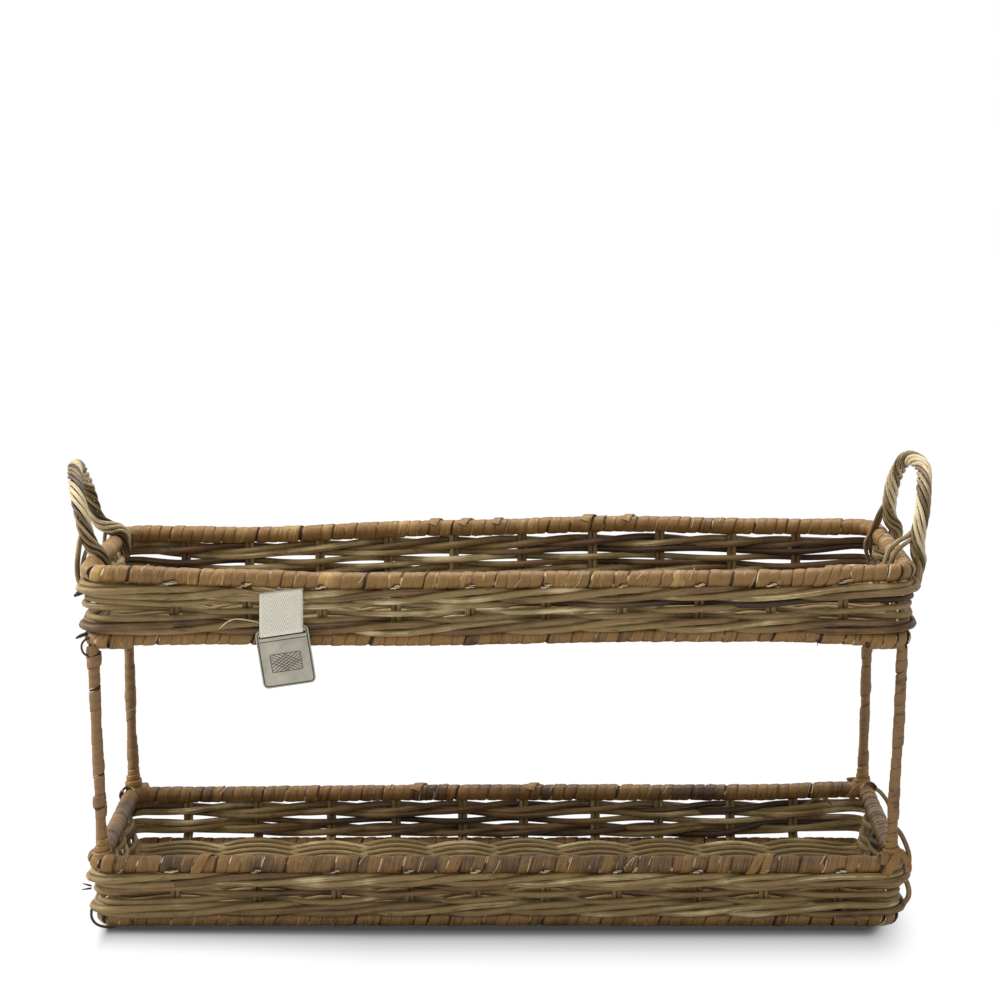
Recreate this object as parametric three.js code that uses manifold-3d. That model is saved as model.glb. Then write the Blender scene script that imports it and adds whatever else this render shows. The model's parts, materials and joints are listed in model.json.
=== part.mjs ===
// A two tier tray woven from rattan: two shallow trays on top of each other, held apart
// by four corner posts, with a rope handle at each short end and a cloth and metal hang tag.
// Millimetres, +Z up, +X along the length. The origin is under the middle of the base.

import * as THREE from 'three';
import { mergeVertices } from 'three/addons/utils/BufferGeometryUtils.js';
import Module from 'manifold-3d';

const wasm = await Module();
wasm.setup();

// Fits
const clearance = 0.3; // gap between pieces that touch on the real tray

// Plan of the lower rim's centreline, which the other rings are offset from
const trayLength = 583;
const trayWidth = 214;
const cornerRadius = 13;
const lowerFlare = 5; // how far the lower rim stands outside the lower base hoop
const upperFlare = 4; // how far the upper rim stands outside the upper base hoop

// Heights
const lowerWallRise = 42.1; // base hoop centre to rim centre
const upperWallRise = 43.8;
const tierRise = 210.3; // lower base hoop centre to upper base hoop centre

// Wrapped hoops
const hoopRadius = 5.5;
const rimRadius = 6.5;

// Twisted bands of strands that run outside the stakes, above the hoop and under the rim
const waleHalfThickness = 3;
const waleHalfHeight = 3.2;
const baseWaleLift = 8.5; // base hoop centre to the lower band's centre
const rimWaleDrop = 10.8; // rim centre to the upper band's centre

// Plain woven rows between the two bands
const rowsPerWall = 3;
const strandRadius = 2.4;
const rowGap = 0.4;

// Ribs run down the front wall, across the floor and up the back wall, as pairs of rods
const ribCount = 10;
const ribEndGap = 38.2; // end of the long straight side to the nearest rib
const ribShift = 1; // the middle of the ribs, right of the middle of the tray
const ribSkew = 7.5; // each rib's front end is this far right of its middle
const rodRadius = 1.9;
const rodChamfer = 1.05; // from a rod's side to its flat top
const rodWaist = 1.05; // half height of the waist between the two rods
const ribBend = 2.2;

// Stakes in the short walls
const stakesPerEnd = 3;
const endStakeGap = 41.5; // end of the short straight side to the nearest stake

// Floor weave, as groups of lengthwise strands that pass over and under the ribs
const floorBands = 8;
const floorBandThickness = 4.4;
const floorBandOverlap = 0.6; // neighbouring groups are joined where they cross
const strandsPerBand = 5;
const floorStrandWaist = 0.7; // half height of the groove between two strands of a group

// Corner posts and the peel binding at their feet
const postRadius = 4.2;
const postInset = 2.5; // post axis inside the rim's outermost centreline
const bindingRadius = 7;
const bindingHeight = 15;

// Rope handles. The right one stands outside the rim, the left one comes up inside it.
const handleRadius = 5.8;
const handleHalfSpan = 68;
const handleSteps = 36; // straight stretches that the handle's curve is drawn with
const rightHandleRise = 71.3; // rim centre to the handle's centreline at the top
const leftHandleRise = 65.3;
const rightHandleLean = 2.9; // how far each handle's top stands outside its feet
const leftHandleLean = 33.2;
const handleFootRise = 4.4; // rim centre to where a leg starts to bend
// Where a leg bends: its distance from the middle and how far it stands outside its foot,
// both as shares of the handle's half span, and its share of the handle's rise. The legs
// aren't alike, because each handle is wrung a little.
const rightFrontBends = [
  [0.99, -0.025, 0.21], [0.95, -0.007, 0.4], [0.872, 0.037, 0.58], [0.684, 0.072, 0.79],
  [0.353, 0.106, 0.95],
];
const rightBackBends = [
  [0.997, -0.038, 0.13], [0.985, -0.096, 0.25], [0.935, -0.093, 0.45], [0.794, -0.063, 0.69],
  [0.441, 0, 0.93],
];
const leftFrontBends = [
  [1, 0.035, 0.12], [0.994, 0.141, 0.21], [0.979, 0.215, 0.29], [0.95, 0.276, 0.41],
  [0.841, 0.326, 0.63], [0.563, 0.404, 0.87],
];
const leftBackBends = [
  [1, 0.038, 0.13], [0.996, 0.132, 0.21], [0.99, 0.243, 0.24], [0.976, 0.346, 0.29],
  [0.926, 0.421, 0.43], [0.801, 0.462, 0.68], [0.471, 0.5, 0.92],
];

// Hang tag: a folded cloth tape round the upper band, and a metal plate on the tape's fold
const tagX = -155;
const tapeWidth = 31;
const tapeThickness = 0.7;
const tagDrop = 24.6; // wale centre to the plate's hanging bar
const tagStandOff = 5.1; // the bar's centre, outside the wale's centre
const tagTilt = THREE.MathUtils.degToRad(8.5); // the plate hangs askew
const plateHeight = 42.6;
const plateThickness = 1.2;
const plateCorner = 4;
const barHeight = 4; // the strip of plate above the slot
const slotHeight = 2.1;
const slotPlay = 1.4;
const plateSide = 2.1; // the strip of plate beside the slot

// Colours, from the dry peel, the rods, the handles and the tag
const colours = {
  peel: { color: '#8f7347', roughness: 0.62, metalness: 0 },
  rod: { color: '#8c7650', roughness: 0.7, metalness: 0 },
  floor: { color: '#9a8258', roughness: 0.7, metalness: 0 },
  handle: { color: '#b39b6e', roughness: 0.66, metalness: 0 },
  cloth: { color: '#ddd8c6', roughness: 0.95, metalness: 0 },
  plate: { color: '#b5b09e', roughness: 0.45, metalness: 0.8 },
};

// Each tray's heights and its offsets from the plan above
const lowerTray = {
  name: 'lower',
  baseZ: hoopRadius,
  rimZ: hoopRadius + lowerWallRise,
  baseOffset: -lowerFlare,
  rimOffset: 0,
};
const upperTray = {
  name: 'upper',
  baseZ: hoopRadius + tierRise,
  rimZ: hoopRadius + tierRise + upperWallRise,
  baseOffset: 0,
  rimOffset: upperFlare,
};

// The plan's straight sides reach this far, and the ribs and stakes are spread along them
const coreX = trayLength / 2 - cornerRadius;
const coreY = trayWidth / 2 - cornerRadius;
const ribPitch = (2 * (coreX - ribEndGap)) / (ribCount - 1);
const endStakePitch = (2 * (coreY - endStakeGap)) / (stakesPerEnd - 1);

const tray = new THREE.Group();

// Adds a named mesh in its finish to the tray
function addPiece(name, geometry, finish) {
  const material = new THREE.MeshStandardMaterial(colours[finish]);
  const mesh = new THREE.Mesh(geometry, material);
  mesh.name = name;
  tray.add(mesh);
  return mesh;
}

// An indexed geometry with its faces turned outwards
function closedGeometry(points, faces) {
  let volume = 0;
  for (const [a, b, c] of faces) {
    volume += points[a].dot(new THREE.Vector3().crossVectors(points[b], points[c]));
  }
  const turned = volume < 0 ? faces.map(([a, b, c]) => [a, c, b]) : faces;
  const geometry = new THREE.BufferGeometry();
  geometry.setAttribute('position', new THREE.Float32BufferAttribute(
    points.flatMap((p) => [p.x, p.y, p.z]), 3));
  geometry.setIndex(turned.flat());
  return geometry;
}

// Joins a section's copies at each station into one solid. A station has a centre and the
// two directions that the section is drawn in.
function sweep(stations, section, closed) {
  const points = stations.flatMap(({ centre, side, rise }) => section.map(([a, b]) => (
    centre.clone().addScaledVector(side, a).addScaledVector(rise, b))));
  const count = section.length;
  const faces = [];
  const spans = closed ? stations.length : stations.length - 1;
  for (let i = 0; i < spans; i += 1) {
    const here = i * count;
    const next = ((i + 1) % stations.length) * count;
    for (let j = 0; j < count; j += 1) {
      const k = (j + 1) % count;
      faces.push([here + j, next + j, next + k], [here + j, next + k, here + k]);
    }
  }
  if (!closed) {
    const last = (stations.length - 1) * count;
    const outline = section.map(([a, b]) => new THREE.Vector2(a, b));
    for (const [a, b, c] of THREE.ShapeUtils.triangulateShape(outline, [])) {
      faces.push([a, b, c], [last + a, last + c, last + b]);
    }
  }
  return closedGeometry(points, faces);
}

// A polygon with a flat at its bottom, that reaches the given half width and half height
function ovalSection(halfWidth, halfHeight, sides) {
  const corners = Array.from({ length: sides }, (_, i) => {
    const angle = ((i + 0.5) / sides) * 2 * Math.PI - Math.PI / 2;
    return [Math.cos(angle), Math.sin(angle)];
  });
  const widest = Math.max(...corners.map(([a]) => a));
  const highest = Math.max(...corners.map(([, b]) => b));
  return corners.map(([a, b]) => [(a / widest) * halfWidth, (b / highest) * halfHeight]);
}

// Two rods side by side, with a shallow waist between them
function rodPairSection() {
  const reach = 2 * rodRadius;
  const outer = reach - rodChamfer;
  return [
    [-reach, 0], [-outer, -rodRadius], [-rodChamfer, -rodRadius], [0, -rodWaist],
    [rodChamfer, -rodRadius], [outer, -rodRadius],
    [reach, 0], [outer, rodRadius], [rodChamfer, rodRadius], [0, rodWaist],
    [-rodChamfer, rodRadius], [-outer, rodRadius],
  ];
}

function waleSection() {
  return ovalSection(waleHalfThickness, waleHalfHeight, 6);
}

// How far the wall's middle stands outside the plan at a height
function wallOffset(spec, z) {
  return THREE.MathUtils.mapLinear(z, spec.baseZ, spec.rimZ, spec.baseOffset, spec.rimOffset);
}

function frontRibX(i) {
  return (i - (ribCount - 1) / 2) * ribPitch + ribShift + ribSkew;
}

function backRibX(i) {
  return (i - (ribCount - 1) / 2) * ribPitch + ribShift - ribSkew;
}

// X of a rib where it crosses the floor at y
function floorRibX(i, y) {
  return THREE.MathUtils.mapLinear(y, -coreY, coreY, frontRibX(i), backRibX(i));
}

// How far a strand that runs straight between crossings swings out to clear a pair of rods
function swingPast(reach) {
  const halfPitch = Math.min(ribPitch, endStakePitch) / 2;
  const flatReach = 2 * rodRadius - rodChamfer;
  return reach / (1 - flatReach / halfPitch);
}

function endStakeY(j) {
  return (j - (stakesPerEnd - 1) / 2) * endStakePitch;
}

// Points of each straight side of the plan, in order round the tray, with a corner after each
function planSides() {
  const ribs = Array.from({ length: ribCount }, (_, i) => i);
  const ends = Array.from({ length: stakesPerEnd }, (_, j) => j);
  return [
    { normal: [0, -1], at: ribs.map(frontRibX), corner: [1, -1] },
    { normal: [1, 0], at: ends.map(endStakeY), corner: [1, 1] },
    { normal: [0, 1], at: ribs.map(backRibX).reverse(), corner: [-1, 1] },
    { normal: [-1, 0], at: ends.map(endStakeY).reverse(), corner: [-1, -1] },
  ];
}

// One station on a straight side, where the plan runs along x or along y
function sideStation(normal, along, offset, z) {
  const side = new THREE.Vector3(normal[0], normal[1], 0);
  const reach = normal[0] === 0 ? coreY : coreX;
  const centre = side.clone().multiplyScalar(reach + cornerRadius + offset);
  if (normal[0] === 0) centre.x = along;
  else centre.y = along;
  centre.z = z;
  return { centre, side, rise: new THREE.Vector3(0, 0, 1) };
}

// Stations round one corner, from the end of one side to the start of the next
function cornerStations(corner, startNormal, offset, z, steps) {
  const start = Math.atan2(startNormal[1], startNormal[0]);
  return Array.from({ length: steps + 1 }, (_, i) => {
    const angle = start + (i / steps) * (Math.PI / 2);
    const side = new THREE.Vector3(Math.cos(angle), Math.sin(angle), 0);
    const centre = new THREE.Vector3(corner[0] * coreX, corner[1] * coreY, z);
    centre.addScaledVector(side, cornerRadius + offset);
    return { centre, side, rise: new THREE.Vector3(0, 0, 1) };
  });
}

// A ring that follows the plan at a height, with no weaving
function plainRing(offset, z, section) {
  const stations = planSides().flatMap(({ normal, corner }) => (
    cornerStations(corner, normal, offset, z, 4)));
  return sweep(stations, section, true);
}

// A strand that passes outside one stake and inside the next, all the way round
function wovenRing(spec, z, phase) {
  const middle = wallOffset(spec, z);
  const swing = swingPast(rodRadius + strandRadius + clearance);
  const stations = [];
  let crossing = phase;
  for (const { normal, at, corner } of planSides()) {
    for (const along of at) {
      const offset = middle + (crossing % 2 === 0 ? swing : -swing);
      stations.push(sideStation(normal, along, offset, z));
      crossing += 1;
    }
    stations.push(...cornerStations(corner, normal, middle, z, 2));
  }
  return sweep(stations, ovalSection(strandRadius, strandRadius, 5), true);
}

// The pair of rods down the front wall, across the floor and up the back wall
function ribGeometry(spec, i) {
  const floorZ = floorHeight(spec);
  const topZ = spec.rimZ - rimRadius - clearance;
  const along = new THREE.Vector3(1, 0, 0);
  const wallY = (z) => trayWidth / 2 + wallOffset(spec, z);
  const bendZ = floorZ + ribBend;
  const bendPart = ribBend * (1 - Math.SQRT1_2);
  const half = [
    { y: wallY(topZ), z: topZ, lean: 0 },
    { y: wallY(bendZ), z: bendZ, lean: 0 },
    { y: wallY(bendZ) - bendPart, z: floorZ + bendPart, lean: 45 },
    { y: wallY(bendZ) - ribBend, z: floorZ, lean: 90 },
  ];
  const station = ({ y, z, lean }, sign) => {
    const angle = THREE.MathUtils.degToRad(lean);
    return {
      centre: new THREE.Vector3(sign < 0 ? frontRibX(i) : backRibX(i), sign * y, z),
      side: along,
      rise: new THREE.Vector3(0, sign * Math.cos(angle), -Math.sin(angle)),
    };
  };
  const front = half.map((p) => station(p, -1));
  const back = half.map((p) => station(p, 1)).reverse();
  return sweep([...front, ...back], rodPairSection(), false);
}

// The ribs lie on top of the base hoop
function floorHeight(spec) {
  return spec.baseZ + hoopRadius + clearance + rodRadius;
}

// A pair of rods that stands on the base hoop under the short side of the rim
function endStakeGeometry(spec, sign, y) {
  const along = new THREE.Vector3(0, 1, 0);
  const heights = [spec.baseZ + hoopRadius + clearance, spec.rimZ - rimRadius - clearance];
  const stations = heights.map((z) => ({
    centre: new THREE.Vector3(sign * (trayLength / 2 + wallOffset(spec, z)), y, z),
    side: along,
    rise: new THREE.Vector3(1, 0, 0),
  }));
  return sweep(stations, rodPairSection(), false);
}

function toSolid(geometry) {
  const merged = mergeVertices(geometry);
  return new wasm.Manifold(new wasm.Mesh({
    numProp: 3,
    vertProperties: new Float32Array(merged.attributes.position.array),
    triVerts: new Uint32Array(merged.index.array),
  }));
}

function fromSolid(solid) {
  const mesh = solid.getMesh();
  const geometry = new THREE.BufferGeometry();
  geometry.setAttribute('position', new THREE.BufferAttribute(mesh.vertProperties, 3));
  geometry.setIndex(new THREE.BufferAttribute(mesh.triVerts, 1));
  return geometry;
}

// A group of strands side by side, with a groove between each strand and the next
function strandGroupSection(width) {
  const pitch = width / strandsPerBand;
  const lower = [[-width / 2, -floorStrandWaist]];
  for (let i = 0; i < strandsPerBand; i += 1) {
    const left = i * pitch - width / 2;
    lower.push([left + pitch / 2, -floorBandThickness / 2], [left + pitch, -floorStrandWaist]);
  }
  return [...lower, ...lower.map(([a, b]) => [a, -b]).reverse()];
}

// Groups of strands that weave over and under the ribs, joined where neighbours cross
function floorWeave(spec) {
  const floorZ = floorHeight(spec);
  const swing = swingPast(rodRadius + floorBandThickness / 2 + clearance);
  const halfWidth = trayWidth / 2 + spec.baseOffset - hoopRadius - clearance;
  const halfLength = trayLength / 2 + spec.baseOffset - hoopRadius - clearance;
  const pitch = (2 * halfWidth) / floorBands;
  const section = strandGroupSection(pitch + floorBandOverlap);
  const edge = strandGroupSection(pitch - floorBandOverlap);
  const bands = Array.from({ length: floorBands }, (_, band) => {
    const y = (band + 0.5) * pitch - halfWidth;
    const outermost = band === 0 || band === floorBands - 1;
    const station = (x, rise) => ({
      centre: new THREE.Vector3(x, y, floorZ + rise),
      side: new THREE.Vector3(0, 1, 0),
      rise: new THREE.Vector3(0, 0, 1),
    });
    const stations = [station(-halfLength, 0)];
    for (let i = 0; i < ribCount; i += 1) {
      stations.push(station(floorRibX(i, y), (i + band) % 2 === 0 ? swing : -swing));
    }
    stations.push(station(halfLength, 0));
    return toSolid(sweep(stations, outermost ? edge : section, false));
  });
  return fromSolid(bands.reduce((whole, band) => whole.add(band)));
}

// One tray: its two hoops, the bands and rows of its wall, its ribs, stakes and floor
function addTray(spec) {
  const { name } = spec;
  addPiece(`${name}_base_hoop`, plainRing(spec.baseOffset, spec.baseZ,
    ovalSection(hoopRadius, hoopRadius, 8)), 'peel');
  addPiece(`${name}_rim`, plainRing(spec.rimOffset, spec.rimZ,
    ovalSection(rimRadius, rimRadius, 8)), 'peel');

  const waleOut = rodRadius + clearance + waleHalfThickness;
  const baseWaleZ = spec.baseZ + baseWaleLift;
  const rimWaleZ = spec.rimZ - rimWaleDrop;
  addPiece(`${name}_base_wale`, plainRing(wallOffset(spec, baseWaleZ) + waleOut, baseWaleZ,
    waleSection()), 'rod');
  addPiece(`${name}_rim_wale`, plainRing(wallOffset(spec, rimWaleZ) + waleOut, rimWaleZ,
    waleSection()), 'rod');

  const firstRowZ = baseWaleZ + waleHalfHeight + rowGap + strandRadius;
  for (let row = 0; row < rowsPerWall; row += 1) {
    const z = firstRowZ + row * (2 * strandRadius + rowGap);
    addPiece(`${name}_woven_row_${row + 1}`, wovenRing(spec, z, row), 'rod');
  }
  for (let i = 0; i < ribCount; i += 1) {
    addPiece(`${name}_rib_${i + 1}`, ribGeometry(spec, i), 'rod');
  }
  for (let j = 0; j < stakesPerEnd; j += 1) {
    addPiece(`${name}_left_stake_${j + 1}`, endStakeGeometry(spec, -1, endStakeY(j)), 'rod');
    addPiece(`${name}_right_stake_${j + 1}`, endStakeGeometry(spec, 1, endStakeY(j)), 'rod');
  }
  addPiece(`${name}_floor_weave`, floorWeave(spec), 'floor');
}

// A post on each corner of the lower rim, up to the upper base hoop, bound at its foot
function addPosts() {
  const x = trayLength / 2 - postInset;
  const y = trayWidth / 2 - postInset;
  const footZ = lowerTray.rimZ + rimRadius + clearance;
  const topZ = upperTray.baseZ - hoopRadius - clearance;
  const inner = postRadius + clearance;
  const chamfer = (bindingRadius - inner) / 2;
  const corners = {
    front_left: [-1, -1], front_right: [1, -1], back_left: [-1, 1], back_right: [1, 1],
  };
  for (const [place, [sx, sy]] of Object.entries(corners)) {
    const post = new THREE.LatheGeometry([
      new THREE.Vector2(0, 0),
      new THREE.Vector2(postRadius, 0),
      new THREE.Vector2(postRadius, topZ - footZ),
      new THREE.Vector2(0, topZ - footZ),
    ], 12);
    const binding = new THREE.LatheGeometry([
      new THREE.Vector2(inner, 0),
      new THREE.Vector2(bindingRadius, 0),
      new THREE.Vector2(bindingRadius, bindingHeight - chamfer),
      new THREE.Vector2(inner + chamfer, bindingHeight),
      new THREE.Vector2(inner, bindingHeight),
      new THREE.Vector2(inner, 0),
    ], 12);
    const pieces = [
      addPiece(`${place}_post`, mergedLathe(post), 'peel'),
      addPiece(`${place}_post_binding`, mergedLathe(binding), 'peel'),
    ];
    for (const piece of pieces) {
      piece.rotation.x = Math.PI / 2;
      piece.position.set(sx * x, sy * y, footZ);
    }
  }
}

// A lathe's seam and its points on the axis, closed up
function mergedLathe(lathe) {
  lathe.deleteAttribute('normal');
  lathe.deleteAttribute('uv');
  const merged = mergeVertices(lathe);
  const at = merged.attributes.position;
  const points = Array.from({ length: at.count }, (_, i) => (
    new THREE.Vector3().fromBufferAttribute(at, i)));
  const index = Array.from(merged.index.array);
  const faces = [];
  for (let i = 0; i < index.length; i += 3) {
    const [a, b, c] = index.slice(i, i + 3);
    if (a !== b && b !== c && c !== a) faces.push([a, b, c]);
  }
  return closedGeometry(points, faces);
}

// A rope handle along a smooth curve through its legs and its crown
function handleGeometry(points) {
  const path = new THREE.CatmullRomCurve3(points, false, 'centripetal');
  const section = new THREE.Shape(ovalSection(handleRadius, handleRadius, 8)
    .map(([a, b]) => new THREE.Vector2(a, b)));
  return new THREE.ExtrudeGeometry(section, { extrudePath: path, steps: handleSteps });
}

function addHandles() {
  const { rimZ } = upperTray;
  const rimX = trayLength / 2 + upperFlare;
  const reach = rimRadius + clearance + handleRadius;
  const bendZ = rimZ + handleFootRise;

  // The right handle stands outside the rim, on the band under it
  const rightX = rimX + reach;
  const waleTop = rimZ - rimWaleDrop + waleHalfHeight;
  const right = (sign, bends) => [
    new THREE.Vector3(rightX, sign * handleHalfSpan, waleTop + clearance),
    new THREE.Vector3(rightX, sign * handleHalfSpan, bendZ),
    ...bends.map(([across, out, up]) => new THREE.Vector3(
      rightX + out * handleHalfSpan, sign * across * handleHalfSpan, rimZ + up * rightHandleRise)),
  ];
  const rightTop = new THREE.Vector3(rightX + rightHandleLean, 0, rimZ + rightHandleRise);
  addPiece('right_handle', handleGeometry(
    [...right(-1, rightFrontBends), rightTop, ...right(1, rightBackBends).reverse()]), 'handle');

  // The left handle stands inside the rim, on the top row, and leans out over the rim
  const leftX = rimX - reach / Math.cos(Math.PI / 8) - clearance;
  const rowTop = upperTray.baseZ + baseWaleLift + waleHalfHeight
    + rowsPerWall * (2 * strandRadius + rowGap);
  const left = (sign, bends) => [
    new THREE.Vector3(-leftX, sign * handleHalfSpan, rowTop + rowGap),
    new THREE.Vector3(-leftX, sign * handleHalfSpan, rimZ),
    ...bends.map(([across, out, up]) => new THREE.Vector3(
      -leftX - out * handleHalfSpan, sign * across * handleHalfSpan, rimZ + up * leftHandleRise)),
  ];
  const leftTop = new THREE.Vector3(-(leftX + leftHandleLean), 0, rimZ + leftHandleRise);
  addPiece('left_handle', handleGeometry(
    [...left(-1, leftFrontBends), leftTop, ...left(1, leftBackBends).reverse()]), 'handle');
}

// The tape's closed centreline seen from its end: out is away from the wall
function tapeCentreline(around, fold) {
  const points = [];
  for (const degrees of [90, 60, 30, 0]) {
    const angle = THREE.MathUtils.degToRad(degrees);
    points.push([around * Math.cos(angle), around * Math.sin(angle)]);
  }
  for (const degrees of [0, -45, -90, -135, -180]) {
    const angle = THREE.MathUtils.degToRad(degrees);
    points.push([tagStandOff + fold * Math.cos(angle), -tagDrop + fold * Math.sin(angle)]);
  }
  points.push([tagStandOff - fold, -2 * around]);
  for (const degrees of [-80, -115, -150, 180, 150, 120]) {
    const angle = THREE.MathUtils.degToRad(degrees);
    points.push([around * Math.cos(angle), around * Math.sin(angle)]);
  }
  return points.map(([out, up]) => new THREE.Vector2(out, up));
}

// The cloth tape as a closed strip, with its fold askew, and the plate that hangs on it
function addTag() {
  const waleZ = upperTray.rimZ - rimWaleDrop;
  const waleOut = rodRadius + clearance + waleHalfThickness;
  const waleY = trayWidth / 2 + wallOffset(upperTray, waleZ) + waleOut;
  const corner = Math.max(...waleSection().map(([a, b]) => Math.hypot(a, b)));
  const around = corner + clearance + tapeThickness / 2;
  const fold = Math.hypot(barHeight, plateThickness) / 2 + clearance + tapeThickness / 2;

  const line = tapeCentreline(around, fold);
  const count = line.length;
  const offsetLine = (amount) => line.map((p, i) => {
    const before = line[(i + count - 1) % count];
    const after = line[(i + 1) % count];
    const along = after.clone().sub(before).normalize();
    return new THREE.Vector2(p.x - along.y * amount, p.y + along.x * amount);
  });
  const outer = offsetLine(tapeThickness / 2);
  const inner = offsetLine(-tapeThickness / 2);
  const points = [];
  const faces = [];
  for (const along of [-tapeWidth / 2, tapeWidth / 2]) {
    for (const ring of [outer, inner]) {
      for (const p of ring) {
        const askew = THREE.MathUtils.clamp((-p.y - around) / (tagDrop - around), 0, 1);
        points.push(new THREE.Vector3(along, -p.x, p.y + askew * along * Math.tan(tagTilt)));
      }
    }
  }
  const quad = (a, b, c, d) => faces.push([a, b, c], [a, c, d]);
  for (let i = 0; i < count; i += 1) {
    const k = (i + 1) % count;
    quad(i, k, count + k, count + i);
    quad(2 * count + i, 3 * count + i, 3 * count + k, 2 * count + k);
    quad(i, 2 * count + i, 2 * count + k, k);
    quad(count + i, count + k, 3 * count + k, 3 * count + i);
  }
  const tape = addPiece('tag_tape', closedGeometry(points, faces), 'cloth');
  tape.position.set(tagX, -waleY, waleZ);

  const outline = new THREE.Shape();
  const halfSlot = tapeWidth / 2 / Math.cos(tagTilt) + slotPlay;
  const halfPlate = halfSlot + plateSide;
  const top = barHeight / 2;
  const low = top - plateHeight;
  outline.absarc(halfPlate - plateCorner, top - plateCorner, plateCorner, 0, Math.PI / 2);
  outline.absarc(-halfPlate + plateCorner, top - plateCorner, plateCorner, Math.PI / 2, Math.PI);
  outline.absarc(-halfPlate + plateCorner, low + plateCorner, plateCorner, Math.PI, 1.5 * Math.PI);
  outline.absarc(halfPlate - plateCorner, low + plateCorner, plateCorner, 1.5 * Math.PI, 2 * Math.PI);
  const slot = new THREE.Path([
    new THREE.Vector2(-halfSlot, -top), new THREE.Vector2(-halfSlot, -top - slotHeight),
    new THREE.Vector2(halfSlot, -top - slotHeight), new THREE.Vector2(halfSlot, -top),
  ]);
  outline.holes.push(slot);
  const blank = new THREE.ExtrudeGeometry(outline, {
    depth: plateThickness, bevelEnabled: false, curveSegments: 4,
  });
  blank.translate(0, 0, -plateThickness / 2);
  const plate = addPiece('tag_plate', blank, 'plate');
  plate.rotation.set(Math.PI / 2, 0, 0);
  plate.rotation.order = 'YXZ';
  plate.rotation.y = -tagTilt;
  plate.position.set(tagX, -(waleY + tagStandOff), waleZ - tagDrop);
}

addTray(lowerTray);
addPosts();
addTray(upperTray);
addHandles();
addTag();

export default tray;
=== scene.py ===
# A two tier tray woven from rattan. The looks of each piece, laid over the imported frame:
# the peel round the hoops, the twisted bands, the single rods of the walls and floors, the
# rope handles and the hang tag. Lengths here are millimetres, and meshes are made in metres.

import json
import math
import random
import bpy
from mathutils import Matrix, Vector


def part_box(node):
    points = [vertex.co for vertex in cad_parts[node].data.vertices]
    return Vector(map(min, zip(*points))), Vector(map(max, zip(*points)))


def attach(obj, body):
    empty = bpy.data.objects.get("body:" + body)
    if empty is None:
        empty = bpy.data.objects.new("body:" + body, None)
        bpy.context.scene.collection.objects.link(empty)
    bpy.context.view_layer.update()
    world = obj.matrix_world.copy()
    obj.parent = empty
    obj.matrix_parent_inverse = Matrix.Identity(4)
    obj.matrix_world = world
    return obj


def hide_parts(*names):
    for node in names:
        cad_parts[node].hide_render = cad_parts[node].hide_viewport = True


bl_info = {
    "name": "Tiered rattan tray",
    "version": (1, 0, 0),
    "blender": (4, 5, 0),
    "location": "View3D > Sidebar > Rattan tray",
    "description": "Builds a two tier tray woven from rattan, with rope handles and a hang tag",
    "category": "Object",
}

import bpy
from mathutils import Matrix, Vector, noise

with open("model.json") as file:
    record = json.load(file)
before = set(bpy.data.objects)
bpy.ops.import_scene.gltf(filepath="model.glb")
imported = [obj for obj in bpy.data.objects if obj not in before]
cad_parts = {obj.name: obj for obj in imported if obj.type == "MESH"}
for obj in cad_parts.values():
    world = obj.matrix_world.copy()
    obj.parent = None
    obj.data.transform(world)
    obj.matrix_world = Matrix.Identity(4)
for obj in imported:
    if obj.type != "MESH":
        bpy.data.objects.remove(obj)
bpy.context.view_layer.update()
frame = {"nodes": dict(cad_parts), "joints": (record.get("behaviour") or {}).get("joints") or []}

MM = 0.001
TURN = 2 * math.pi
BASKET = "basket"
TRAYS = ("lower", "upper")
POSTS = ("front_left", "front_right", "back_left", "back_right")
NOISE_GAIN = 1.6  # the noise itself stays within about 0.6

# Plan and walls
CORNER = 13  # corner radius of the lower rim's centreline
ROD_GAP = 0.2  # between rods that lie against each other
ROUND_STEP = 4.5  # between the points of a strand that runs round a tray
RIM_STEP = 3  # and between those of a rim or hoop
SEAM_PHASE = 17.4  # a strand that closes on itself meets its start at the middle of the back
WALL_WANDER = {"band": 0.9, "row": 1.17}  # how far a woven strand strays up and down
PACES = {  # how quickly a strand's rise, push, thickness and tone change from stake to stake
    "band": {"rise": 0.7, "push": 0.9, "girth": 0.21, "tone": 0.13},
    "row": {"rise": 0.8, "girth": 0.4, "tone": 0.19},
}
UNEVEN = {"band": 0.12, "row": 0.1}  # how unevenly thick a strand is, as a share
PALEST = {"band": 0.88, "row": 0.95}  # the palest that it gets
ROW_TWIST = 0.8  # how far a plain row rises and falls between two stakes
ROW_CORNER_PUSH = 4.6  # how far a plain row stands out round a corner
ROW_CORNER_LIFT = {"lower": (0, 0.3, 0.6), "upper": (0.5, 1.5, 2.6)}  # and how far it rises
BAND_CORNER_PUSH = {"lower": 4.0, "upper": 2.6}  # and a twisted band
BAND_TWIST = 3.0  # how far the strands of a twisted band rise and fall
BACK_BAND_RISE = 2.2  # how far the lower tray's back band stands clear of its hoop
BACK_BAND_DROP = 2.4  # and how far both trays' back bands hang under their rims
BAND_SPAN = 3  # each strand of a band passes behind every third stake
BAND_INSIDE = -4.4  # a strand of a band behind a stake, from the wall's middle
BAND_OUTSIDE = 5.5  # and in front of the stakes
BAND_PASS = 0.9  # how many gaps it takes from behind a stake to the front
BAND_BELLY = 0.6  # how much further it stands out half way
BAND_STRAY = 0.3  # and how unevenly
BAND_END_RISE = 1.5  # how much more the lower tray's back band rises towards its ends
BAND_LEVEL = 170  # how far from the middle that starts
BAND_END_EASE = 50  # and over which length
TAPE_GRIP = 0.92  # how closely the hang tag's tape draws its band's strands together
TAPE_GRIP_REACH = 24
TAPE_PULL = 1.7  # how far it draws them down beside it
TAPE_PULL_REACH = 15

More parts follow.
